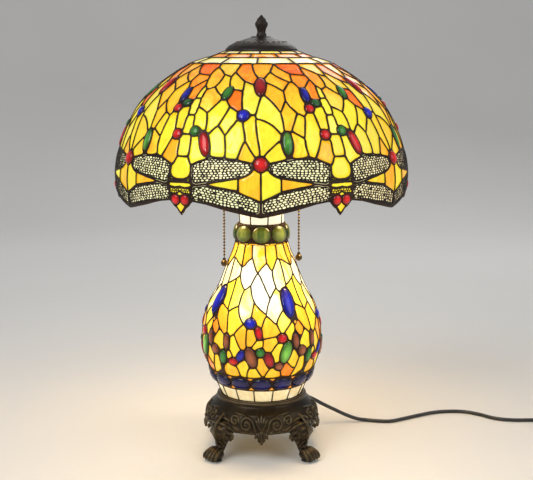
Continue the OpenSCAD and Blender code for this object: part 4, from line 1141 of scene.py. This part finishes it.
def band(name, prof, period, repeats, pieces, jewels, thick, node_names, lift=0.9, phase=0.0, glow=1.0,
         step=0.9, s_pad=0.8, jthick=2.4, joff=0.3, w=0.8, cap=1.2):
    f = Surf(prof, straight=True)
    f.NR, f.NZ = np.where(f.NR < 0, -f.NR, f.NR), np.where(f.NR < 0, -f.NZ, f.NZ)
    L = f.S[-1]
    pn = Panel(f, period, -s_pad, L + s_pad, w=w, cap=cap)
    # runs past both ends by extending the outline
    f.S = np.concatenate([[f.S[0] - 3], f.S, [f.S[-1] + 3]])
    d0 = np.array([f.R[0] - f.R[1], f.Z[0] - f.Z[1]])
    d0 /= np.hypot(*d0)
    d1 = np.array([f.R[-1] - f.R[-2], f.Z[-1] - f.Z[-2]])
    d1 /= np.hypot(*d1)
    f.R = np.concatenate([[f.R[0] + 3 * d0[0]], f.R, [f.R[-1] + 3 * d1[0]]])
    f.Z = np.concatenate([[f.Z[0] + 3 * d0[1]], f.Z, [f.Z[-1] + 3 * d1[1]]])
    f.NR = np.concatenate([f.NR[:1], f.NR, f.NR[-1:]])
    f.NZ = np.concatenate([f.NZ[:1], f.NZ, f.NZ[-1:]])
    for P, ca, cb in pieces(L):
        pn.add(P, ca, cb, smooth=0)
    for j in jewels(L):
        pn.jewel(*j[:5], **j[5])
    ld = make_lead(pn, name + "_lead", "stand", repeats, step, thick, lift=lift, plateau=0.85, phase=phase)
    # one object for the band's glass and one for its cabochons
    gb, jbg = Bag(), Bag()
    for k in range(repeats):
        for g in pn.glass:
            V_, F_ = glass_mesh(pn, g, k, thick, rnd, None)
            V_ = turned(V_, phase)
            gb.put(V_, F_, vary(g["ca"], rnd, 0.04), vary(g["cb"], rnd, 0.04), glow, [rnd.uniform(0, 9) for _ in range(3)])
        for j in pn.jewels:
            V_, F_ = jewel_mesh(pn, j, k, jthick, off=joff)
            V_ = turned(V_, phase)
            jbg.put(V_, F_, gem(vary(j["ca"], rnd, 0.05), 1.2), gem(vary(j["cb"], rnd, 0.05), 1.5), glow, [rnd.uniform(0, 9) for _ in range(3)])
    res = []
    if gb.V:
        o_ = gb.build(name + "_glass", M_GLASS, "stand")
        res.append(o_)
    if jbg.V:
        o_ = jbg.build(name + "_jewels", M_JEWEL, "stand")
        res.append(o_)
    return ld, res


FW = (1.0, 0.84, 0.52)
# white panes round the foot, from top to bottom
ld, rs = band("urn_foot", [(65.4, 101.2), (57.1, 83)], 24, 15,
              lambda L: [([(-12, 0.2), (-4, 0.2), (4, 0.2), (12, 0.2), (12, L - 0.2), (4, L - 0.2), (-4, L - 0.2), (-12, L - 0.2)], FW, (0.92, 0.70, 0.34))],
              lambda L: [], 2.4, None, phase=2.5, glow=0.88)
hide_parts("urn_foot_panes")
# dark ring with blue cabochons, and small amber triangles between them
ld2, rs = band("urn_blue", [(75.9, 122.2), (66, 101.6)], 24, 15,
               lambda L: [([(-12 - 3.6, L - 0.6), (-12, L - 5.6), (-12 + 3.6, L - 0.6)], AM, OR), ([(-12 - 3.2, 0.9), (-12, 4.9), (-12 + 3.2, 0.9)], AM, OR)],
               lambda L: [(0, L / 2, 13.2, 9.2, (0.004, 0.003, 0.040), dict(cb=(0.008, 0.006, 0.10), dome=4.4))], 3.0, None,
               phase=0, glow=0.8, cap=0.15)
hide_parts("urn_blue_ring", "urn_lead_rings")
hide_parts("urn_blue_cabochons")
# big green cabochons round the neck
ld3, rs = band("urn_green", [(33.0, 328.8), (36.8, 303)], 45, 8, lambda L: [],
               lambda L: [(0, L / 2, 12.6, 11.6, (0.07, 0.13, 0.010), dict(cb=(0.36, 0.36, 0.05), dome=5.4))], 3.0, None,
               phase=0, glow=0.75, lift=0.8)
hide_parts("urn_green_ring")
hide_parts("urn_green_cabochons")
# white panes at the top of the neck
ld4, rs = band("urn_neck", [(32.8, 352.4), (31.4, 329.2)], 45, 8,
               lambda L: [([(-22.5, 0.2), (-11, 0.2), (0, 0.2), (11, 0.2), (22.5, 0.2), (22.5, L - 0.2), (11, L - 0.2), (0, L - 0.2), (-11, L - 0.2), (-22.5, L - 0.2)], WH, (0.96, 0.88, 0.66))],
               lambda L: [], 2.4, None, phase=-6, glow=1.0)
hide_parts("urn_neck_panes")


# ---------------------------------------------------------------- the bronze base
CAST = [(79.5, 42), (80, 50), (78, 58.5), (73, 67), (66, 73), (63, 76), (63.4, 80), (61.5, 82.2)]


def cast_r(z):
    return float(np.interp(z, [p[1] for p in CAST], [p[0] for p in CAST]))


def on_cast(u, z, off, az=0.0):
    """A point on the casting, u millimetres along it from azimuth az (0 is the front), at height z."""
    r = cast_r(z)
    t = (az + u / r / RAD) * RAD
    r += off
    return (r * math.sin(t), -r * math.cos(t), z)


def tube_bits(path, radii, m=8, flat=1.0, nrm=None):
    """A closed tube along path with its own radius at each point."""
    c = np.array(path, float)
    n = len(c)
    t = np.gradient(c, axis=0)
    t /= np.linalg.norm(t, axis=1)[:, None] + 1e-9
    ref = np.array([0.0, 0.0, 1.0]) if nrm is None else np.array(nrm, float)
    a = np.cross(np.broadcast_to(ref, (n, 3)), t)
    ln = np.linalg.norm(a, axis=1)
    a[ln < 0.05] = np.cross([1.0, 0.02, 0.0], t[ln < 0.05])
    a /= np.linalg.norm(a, axis=1)[:, None] + 1e-9
    b = np.cross(t, a)
    rr = np.broadcast_to(np.asarray(radii, float), (n,))
    q = np.arange(m) / m * 2 * math.pi
    V = (c[:, None, :] + rr[:, None, None] * (np.cos(q)[None, :, None] * a[:, None, :] + flat * np.sin(q)[None, :, None] * b[:, None, :])).reshape(-1, 3)
    F = []
    for i in range(n - 1):
        for k in range(m):
            p, q1, p2, q2 = i * m + k, i * m + (k + 1) % m, (i + 1) * m + k, (i + 1) * m + (k + 1) % m
            F += [(p, q1, q2), (p, q2, p2)]
    V = np.vstack([V, c[:1], c[-1:]])
    for k in range(m):
        F += [((k + 1) % m, k, n * m), ((n - 1) * m + k, (n - 1) * m + (k + 1) % m, n * m + 1)]
    return V, np.array(F)


def lobe(p0, p1, r, bulge=0.0, nrm=(0, 0, 0), n=7, tip=0.25):
    """A drop-shaped leaf lobe from p0 to p1."""
    p0, p1, nrm = np.array(p0, float), np.array(p1, float), np.array(nrm, float)
    t = np.linspace(0, 1, n)
    c = p0 + (p1 - p0) * t[:, None] + nrm * (np.sin(t * math.pi) * bulge)[:, None]
    rad = r * (tip + (1 - tip) * np.sin(np.clip(t * 0.82 + 0.14, 0, 1) * math.pi) ** 0.8)
    return tube_bits(c, rad, 8)


def rev_solid(outline, n=180):
    """A closed solid of revolution from a closed outline of (r, z)."""
    m = len(outline)
    a = np.arange(n) / n * 2 * math.pi
    o = np.array(outline, float)
    V = np.stack([np.outer(np.sin(a), o[:, 0]), -np.outer(np.cos(a), o[:, 0]), np.tile(o[:, 1], (n, 1))], -1).reshape(-1, 3)
    F = []
    for i in range(n):
        for k in range(m):
            p, q1, p2, q2 = i * m + k, i * m + (k + 1) % m, ((i + 1) % n) * m + k, ((i + 1) % n) * m + (k + 1) % m
            F += [(p, p2, q2), (p, q2, q1)]
    return V, np.array(F)


base_parts = []
inner = [(58.4, 82.2), (57.0, 78), (57.0, 75.5), (62.5, 71), (69.5, 65.5), (74.6, 57.5), (76.4, 50), (76.0, 42)]
base_parts.append(rev_solid(CAST + inner))
quad = []
for az in (0.0,):
    # palmette: narrow fan over the middle of each side
    for k, f in enumerate(np.linspace(-1, 1, 5)):
        a = f * 25 * RAD
        L = 23 - 3.5 * abs(f)
        quad.append(tube_bits([on_cast(math.sin(a) * L * q, 46 + math.cos(a) * L * q, 0.4 + 1.3 * math.sin(q * 2.6)) for q in np.linspace(0, 1, 9)],
                              [0.8, 0.9, 1.0, 1.15, 1.3, 1.45, 1.6, 1.75, 1.1]))
    quad.append(tube_bits([on_cast(0, z, 1.0) for z in np.linspace(43.5, 49, 5)], [1.2, 2.4, 2.7, 2.2, 1.0]))
    # hanging leaf
    for f, L, r in ((0, 16.5, 3.2), (-0.42, 12.5, 2.6), (0.42, 12.5, 2.6), (-0.95, 8.5, 2.3), (0.95, 8.5, 2.3)):
        p0 = on_cast(f * 6.5, 44.5, -0.6)
        p1 = on_cast(f * 9.5, 44.5 - L, -0.4 + 1.6 * (1 - abs(f)))
        quad.append(lobe(p0, p1, r, 1.6, (0, -1, 0), tip=0.4))
    for sg in (-1, 1):
        # C scroll with its curl
        pts, rad = [], []
        for q in np.linspace(0, 1, 40):
            t = q * 1.55 * 2 * math.pi
            rr = 9.6 - 8.2 * q
            pts.append(on_cast(sg * (21.0 + rr * math.cos(math.pi * 0.85 - t)), 55.6 + rr * math.sin(math.pi * 0.85 - t), 0.7 + 1.2 * q))
            rad.append(1.5 + 0.5 * math.sin(q * math.pi) - 0.2 * q)
        # arm from the palmette over the curl
        arm = [on_cast(sg * u, z, 0.5) for u, z in ((8.2, 46.0), (9.4, 50), (10.4, 54.5))]
        quad.append(tube_bits(arm + pts, [0.8, 1.2, 1.5] + rad))
        quad.append(tube_bits([on_cast(sg * 21.0, 55.6, 0.6), on_cast(sg * 21.0, 55.6, 2.0), on_cast(sg * 21.0, 55.6, 3.0)], [3.0, 2.7, 1.2]))
        # second scroll, towards the corner, and leaves springing from it
        pts = [on_cast(sg * (29 + 3.5 * q), 47 + 17 * q - 3 * q * q, 0.6) for q in np.linspace(0, 1, 6)]
        cx, cz = sg * 38.5, 59.5
        for q in np.linspace(0, 1, 26):
            t = q * 1.25 * 2 * math.pi
            rr = 6.6 - 5.2 * q
            pts.append(on_cast(cx + sg * rr * math.cos(math.pi * 0.8 - t), cz + rr * math.sin(math.pi * 0.8 - t), 0.8 + 1.0 * q))
        quad.append(tube_bits(pts, np.interp(np.linspace(0, 1, len(pts)), [0, 0.3, 1], [1.1, 1.7, 1.3])))
        for k, (u0, z0, u1, z1, r) in enumerate(((30, 46, 43, 51.5, 1.9), (33, 44.5, 46, 46.5, 1.9), (15, 47.5, 30, 45.0, 1.7), (14, 62, 27, 68, 1.5), (27, 67.5, 41, 69.5, 1.5), (12, 44.6, 22, 44.4, 1.5))):
            quad.append(lobe(on_cast(sg * u0, z0, 0.4), on_cast(sg * u1, z1, 0.4), r, 1.0, tuple(np.array(on_cast(sg * u0, z0, 1)) - np.array(on_cast(sg * u0, z0, 0)))))
        # bead along the lower edge
        quad.append(tube_bits([on_cast(sg * u, 43.0 - 1.2 * math.sin(max(0, (u - 12) / 34) * math.pi) * -1, 0.5) for u in np.linspace(11, 47, 16)], 1.35))


def leg(az):
    """Knee, ankle and paw of one leg, which points away from the axis at azimuth az."""
    t = az * RAD
    er, et = np.array([math.sin(t), -math.cos(t), 0.0]), np.array([math.cos(t), math.sin(t), 0.0])

    def P(r, u, z):
        return er * r + et * u + np.array([0, 0, float(z)])
    out = []
    secs = [(60, 66, 9, 6), (55, 73, 14, 9.5), (49, 77.5, 17, 12.5), (42, 79, 17.5, 13), (35, 79.5, 15.5, 11.5), (28, 79, 11.5, 9.2),
            (22, 79.5, 8.2, 7.6), (16.5, 82, 7.6, 7.4), (12, 86, 8.5, 6.5), (9, 90, 9, 5)]
    m = 28
    V = []
    for i, (z, r, hu, hr) in enumerate(secs):
        for k in range(m):
            a = k / m * 2 * math.pi
            rb = 1 + 0.055 * math.cos(7 * a) * (1 if 1 < i < 7 else 0)
            V.append(P(r + hr * rb * math.cos(a), hu * rb * math.sin(a), z))
    n = len(secs)
    F = []
    for i in range(n - 1):
        for k in range(m):
            p, q1, p2, q2 = i * m + k, i * m + (k + 1) % m, (i + 1) * m + k, (i + 1) * m + (k + 1) % m
            F += [(p, q2, q1), (p, p2, q2)]
    V += [P(secs[0][1], 0, secs[0][0] + 1), P(secs[-1][1], 0, secs[-1][0] - 1)]
    for k in range(m):
        F += [(k, (k + 1) % m, n * m), ((n - 1) * m + (k + 1) % m, (n - 1) * m + k, n * m + 1)]
    out.append((np.array(V), np.array(F)))
    # acanthus over the knee: a rib and curling side lobes
    out.append(tube_bits([P(r, 0, z) for r, z in ((72, 66), (80, 61), (88.5, 54), (92.5, 46), (92.6, 38), (90, 31), (87.6, 25), (88, 21))],
                         [1.4, 2.1, 2.5, 2.7, 2.5, 2.2, 1.9, 1.2]))
    for sg in (-1, 1):
        for (z0, z1, u1, r1, rr) in ((60, 54, 16.5, 76.5, 2.2), (54, 46.5, 19.0, 79.5, 2.6), (47.5, 39, 18.8, 80.5, 2.7), (41, 31.5, 16, 80.5, 2.5), (34, 25, 11.8, 81.5, 2.2), (28, 19.5, 8.0, 83.5, 1.8)):
            r0 = float(np.interp(z0, [20, 28, 38, 46, 54, 61], [87, 88.5, 91.5, 91.8, 87.5, 79]))
            q = np.linspace(0, 1, 8)
            path = [P(r0 + (r1 - r0) * x ** 1.6, sg * u1 * x ** 0.8, z0 + (z1 - z0) * x + 2.2 * math.sin(x * math.pi)) for x in q]
            path = [q_ - er * 0.9 for q_ in path]
            out.append(tube_bits(path, 0.86 * rr * np.array([0.55, 0.8, 1.0, 1.05, 1.0, 0.95, 0.85, 0.6])))
        # small curl beside the knee
        cu, cz = sg * 19.5, 36.0
        path = []
        for x in np.linspace(0, 1, 22):
            a = x * 1.3 * 2 * math.pi
            rr = 4.6 - 3.4 * x
            path.append(P(78.5 + 1.5 * x, cu + sg * rr * math.cos(1.9 - a), cz + rr * math.sin(1.9 - a)))
        out.append(tube_bits(path, 1.5))
        out.append(tube_bits([P(78, sg * 14, 30.5), P(78.6, sg * 17, 30), P(78.4, sg * 19.8, 31.2)], [1.2, 1.9, 1.2]))
    # paw: pad, and toes with ridged knuckles
    S = []
    for i in range(9):
        f = -math.pi / 2 + i / 8 * math.pi
        S.append((math.cos(f), math.sin(f)))
    V, F = [], []
    for (c_, s_) in S:
        for k in range(24):
            a = k / 24 * 2 * math.pi
            z = 8.6 + 7.4 * s_
            V.append(P(90.5 + 12.2 * max(c_, 0.02) * math.cos(a), 11.2 * max(c_, 0.02) * math.sin(a), max(z, 1.7)))
    for i in range(8):
        for k in range(24):
            p, q1, p2, q2 = i * 24 + k, i * 24 + (k + 1) % 24, (i + 1) * 24 + k, (i + 1) * 24 + (k + 1) % 24
            F += [(p, q1, q2), (p, q2, p2)]
    V += [P(90.5, 0, 1.6), P(90.5, 0, 16.1)]
    for k in range(24):
        F += [((k + 1) % 24, k, 9 * 24), (8 * 24 + k, 8 * 24 + (k + 1) % 24, 9 * 24 + 1)]
    out.append((np.array(V), np.array(F)))
    for f in (-1, -0.5, 0, 0.5, 1):
        sp_ = 1 - 0.16 * f * f
        path = [P(83, f * 6.0, 13.5), P(87 * 1, f * 8.2, 16.4), P(92, f * 9.8, 16.8 - 1.6 * f * f), P(97.5 * sp_ + 97.5 * 0 if False else 91 + 7.5 * sp_, f * 10.8, 13.8 - 1.4 * f * f),
                P(91 + 12.0 * sp_, f * 11.2, 9.2), P(91 + 13.2 * sp_, f * 11.4, 5.4)]
        path = curve_through(path, 3)
        out.append(tube_bits(path, np.interp(np.linspace(0, 1, len(path)), [0, 0.25, 0.6, 0.85, 1], [1.2, 2.1, 2.6, 2.9, 2.5])))
        tip_ = P(91 + 14.2 * sp_, f * 11.4, 4.4)
        out.append(lobe(tip_ - er * 2.2 + np.array([0, 0, 1.6]), tip_ + er * 0.8 - np.array([0, 0, 1.2]), 1.5, 0, tip=0.5))
    return out


def joined(parts):
    V, F, n = [], [], 0
    for v, f in parts:
        V.append(v)
        F.append(f + n)
        n += len(v)
    return np.vstack(V), np.vstack(F)


qv, qf = joined(quad + leg(45))
for k in range(4):
    base_parts.append((turned(qv, 90 * k), qf))
bv, bf = joined(base_parts)
raw = mesh("base_raw", bv, bf, M_BRONZE)
rm = raw.modifiers.new("remesh", "REMESH")
rm.mode = "VOXEL"
rm.voxel_size = 0.00085
rm.use_smooth_shade = True
sm = raw.modifiers.new("smooth", "SMOOTH")
sm.factor = 0.5
sm.iterations = 2
dg = bpy.context.evaluated_depsgraph_get()
bm_ = bpy.data.meshes.new_from_object(raw.evaluated_get(dg))
bm_.name = "bronze_base"
bpy.data.objects.remove(raw)
nv = len(bm_.vertices)
co_ = np.empty(nv * 3, np.float32)
bm_.vertices.foreach_get("co", co_)
co_ = co_.reshape(-1, 3)
co_[:, 2] = np.maximum(co_[:, 2], 0.0016)
bm_.vertices.foreach_set("co", co_.ravel())
bm_.update()
base = bpy.data.objects.new("bronze_base", bm_)
scene.collection.objects.link(base)
bm_.materials.clear()
bm_.materials.append(M_BASE)
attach(base, "stand")
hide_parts("base_casting", "base_drops", "paw_feet")
print("base faces", len(bm_.polygons))

# lip of the dish: two fine bright edges
for nm, r_, z_, t_ in (("base_lip_outer", 63.2, 80.4, 1.25), ("base_lip_inner", 60.6, 82.3, 0.95)):
    a_ = np.arange(0, 360, 2.0) * RAD
    V_, F_ = ring_tube(np.stack([r_ * np.sin(a_), -r_ * np.cos(a_), np.full(len(a_), z_)], 1), t_, 8)
    o = mesh(nm, V_, F_, M_LIP)
    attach(o, "stand")


# ---------------------------------------------------------------- cap and finial
CAPP = [(12, 588), (16, 586), (27, 582.4), (38, 578.6), (45, 574.8), (49.4, 570.4), (50.2, 568)]


def rev_relief(outline, relief, n=360, close_at=None):
    """A surface of revolution whose outline points are pushed outwards by relief(th, i)."""
    o = np.array(outline, float)
    m = len(o)
    d = np.gradient(o, axis=0)
    d /= np.hypot(d[:, 0], d[:, 1])[:, None]
    nn = np.stack([-d[:, 1], d[:, 0]], 1)
    a = np.arange(n) / n * 2 * math.pi
    H = relief(np.degrees(a)[:, None], np.arange(m)[None, :])
    R = o[None, :, 0] + H * nn[None, :, 0]
    Z = o[None, :, 1] + H * nn[None, :, 1]
    V = np.stack([np.sin(a)[:, None] * R, -np.cos(a)[:, None] * R, Z], -1).reshape(-1, 3)
    F = []
    for i in range(n):
        for k in range(m):
            p, q1, p2, q2 = i * m + k, i * m + (k + 1) % m, ((i + 1) % n) * m + k, ((i + 1) % n) * m + (k + 1) % m
            F += [(p, q1, q2), (p, q2, p2)]
    return V, np.array(F)


top_ = np.vstack([np.linspace(CAPP[i], CAPP[i + 1], 6)[:-1] for i in range(len(CAPP) - 1)] + [[CAPP[-1]]])
bot_ = np.array([(48.6, 568), (47.9, 570), (44, 573.6), (37.4, 577.2), (26.6, 581), (15.6, 584.6), (11.8, 586.4), (3.5, 586.4), (3.5, 588)], float)
prof_ = np.vstack([top_, bot_])
nt_ = len(top_)


def cap_relief(th, i):
    rr = prof_[np.clip(i, 0, len(prof_) - 1), 0]
    on = (i < nt_).astype(float)
    leafy = 0.16 * np.abs(np.cos(np.radians(th * 9))) ** 0.7 * np.clip((rr - 15) / 6, 0, 1) * np.clip((31 - rr) / 4, 0, 1)
    scale = 0.12 * np.abs(np.cos(np.radians(th * 12 + 90))) ** 0.6 * np.clip((rr - 35.5) / 3, 0, 1) * np.clip((49.5 - rr) / 2, 0, 1)
    ring = 0.8 * np.exp(-((rr - 33) / 1.1) ** 2) * 0 + 0.35 * np.exp(-((rr - 31.2) / 0.9) ** 2) + 0.35 * np.exp(-((rr - 36.6) / 0.9) ** 2) + 0.3 * np.exp(-((rr - 13.5) / 1.0) ** 2)
    return -(leafy + scale + ring) * on if SIGN_CAP < 0 else (leafy + scale + ring) * on


SIGN_CAP = 1
d_ = top_[1] - top_[0]
SIGN_CAP = 1 if (-d_[1]) > 0 or d_[0] > 0 and True else -1
V_, F_ = rev_relief(prof_, cap_relief, 432)
cap = mesh("heat_cap_cast", V_, F_, M_CAP, sharp=60)
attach(cap, "shade")
# vents: 24 light-coloured rings, each round a short light-coloured disc on the cap, which isn't pierced: painted light,
# standing in for the bulbs' light seen through the vent holes
vb_v, vb_f, n0 = [], [], 0
for k in range(24):
    a_ = math.radians(15 * k)
    z_ = float(np.interp(34, [27, 38], [582.4, 578.6])) + 0.5
    c_ = np.array([34 * math.sin(a_), -34 * math.cos(a_), z_])
    er_ = np.array([math.sin(a_), -math.cos(a_), 0])
    et_ = np.array([math.cos(a_), math.sin(a_), 0])
    up_ = np.array([0, 0, 1]) * 0.94 + er_ * 0.33
    tv_ = np.cross(et_, up_)
    q_ = np.arange(0, 360, 30) * RAD
    circ = np.array([c_ + 1.7 * (np.cos(x) * et_ + np.sin(x) * tv_) for x in q_])
    V_, F_ = ring_tube(circ, 0.5, 6)
    vb_v.append(V_)
    vb_f.append(F_ + n0)
    n0 += len(V_)
    dv, df = tube_bits([c_ - up_ * 0.4, c_ + up_ * 0.15], [1.4, 1.4], 10)
    vb_v.append(dv)
    vb_f.append(df + n0)
    n0 += len(dv)
o = mesh("heat_cap_vents", np.vstack(vb_v), np.vstack(vb_f), M_VENT_PAINTED_LIGHT)
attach(o, "shade")
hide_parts("heat_cap")

FIN = [(0.2, 588.1), (6.6, 588.1), (6.9, 589.4), (6.1, 591), (5.8, 593), (5.9, 595), (6.7, 598), (7.7, 601), (8.7, 604.4), (8.0, 606.6),
       (6.6, 608.9), (5.3, 611), (3.6, 613), (1.9, 615.2), (0.8, 616.4), (0.05, 617)]
fp = curve_through(np.array(FIN, float), 5)


def fin_relief(th, i):
    z = fp[np.clip(i, 0, len(fp) - 1), 1]
    rr = fp[np.clip(i, 0, len(fp) - 1), 0]
    k = np.floor((z - 595) / 5.0)
    leaf = np.abs(np.cos(np.radians(th * 3 + 90 * (k % 2)))) ** 0.6
    sc = np.clip((z - 596) / 2, 0, 1) * np.clip(rr / 4, 0, 1)
    cup = 0.5 * np.abs(np.cos(np.radians(th * 5))) * np.clip((z - 589) / 1, 0, 1) * np.clip((592.5 - z) / 1, 0, 1)
    saw = ((z - 595) / 5.0 - k)
    return (0.95 * leaf * (0.55 + 0.45 * (1 - saw)) * sc - 0.35 * sc + cup) * -1


V_, F_ = rev_relief(fp, fin_relief, 120)
V_[:, 2] = np.clip(V_[:, 2], 588.1, 617.0)
fin = mesh("finial_cast", V_, F_, M_CAP)
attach(fin, "finial")
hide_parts("finial")


# ---------------------------------------------------------------- the carried-over pieces
paint(M_FELT, "foot_pads")
paint(M_BRONZE, "urn_neck_cap")
paint(M_STEEL, "rod_washer", "rod_nut", "night_light_bracket", "bulb_base_left", "bulb_base_right", "plug_pins")
paint(M_BRASS, "lamp_rod", "cluster_body", "socket_shell_left", "socket_shell_right", "pull_wire_left", "pull_wire_right",
      "shade_riser", "shade_spider")
paint(M_CHAIN, "pull_chain_left", "pull_chain_right")
paint(M_CERAM, "socket_insert_left", "socket_insert_right", "night_light_socket")
paint(M_BULB, "bulb_glass_left", "bulb_glass_right", "night_light_bulb")
paint(M_CORD, "cord_bushing", "cord_inner")
paint(M_TIE, "cord_tie")
paint(M_PLUG, "plug_body")

# ---------------------------------------------------------------- room and light
# a pale floor that sweeps up behind
sw = [(-3.0, 0.0), (2.0, 0.0)] + [(2.0 + 1.6 * math.sin(q * RAD), 1.6 - 1.6 * math.cos(q * RAD)) for q in range(6, 91, 6)] + [(3.6, 5.0)]
fl = bpy.data.meshes.new("floor")
fl.from_pydata([(x, y, z) for y, z in sw for x in (-6, 6)], [], [(2 * i, 2 * i + 1, 2 * i + 3, 2 * i + 2) for i in range(len(sw) - 1)])
for q in fl.polygons:
    q.use_smooth = True
floor = bpy.data.objects.new("floor", fl)
scene.collection.objects.link(floor)
fl.materials.append(plain("floor_paint", (0.74, 0.73, 0.71), (0.77, 0.76, 0.74), 0.8, 0.0, 1.5))

w = bpy.data.worlds.new("studio")
scene.world = w
w.use_nodes = True
w.node_tree.nodes["Background"].inputs[0].default_value = (0.93, 0.94, 0.96, 1)
w.node_tree.nodes["Background"].inputs[1].default_value = 0.40


def area(name, loc, target, size, power, col=(1, 1, 1)):
    l = bpy.data.lights.new(name, "AREA")
    l.shape = "SQUARE"
    l.size = size
    l.energy = power
    l.color = col
    o = bpy.data.objects.new(name, l)
    o.location = loc
    d = Vector(target) - Vector(loc)
    o.rotation_euler = d.to_track_quat("-Z", "Y").to_euler()
    scene.collection.objects.link(o)
    return o


area("key", (-1.3, -1.5, 2.0), (0, 0, 0.25), 1.4, 26)
area("fill", (1.7, -1.1, 1.3), (0, 0, 0.25), 1.5, 11)
area("spark", (-0.75, -1.5, 1.25), (0, 0, 0.4), 0.16, 2.6)
area("back", (0.4, 1.9, 1.7), (0, 0, 0.3), 1.4, 12)
for n_, x_ in (("lamp_left", -0.11), ("lamp_right", 0.11)):
    l = bpy.data.lights.new(n_, "POINT")
    l.energy = 2.6
    l.color = (1.0, 0.72, 0.38)
    l.shadow_soft_size = 0.05
    o = bpy.data.objects.new(n_, l)
    o.location = (x_, 0, 0.432)
    scene.collection.objects.link(o)
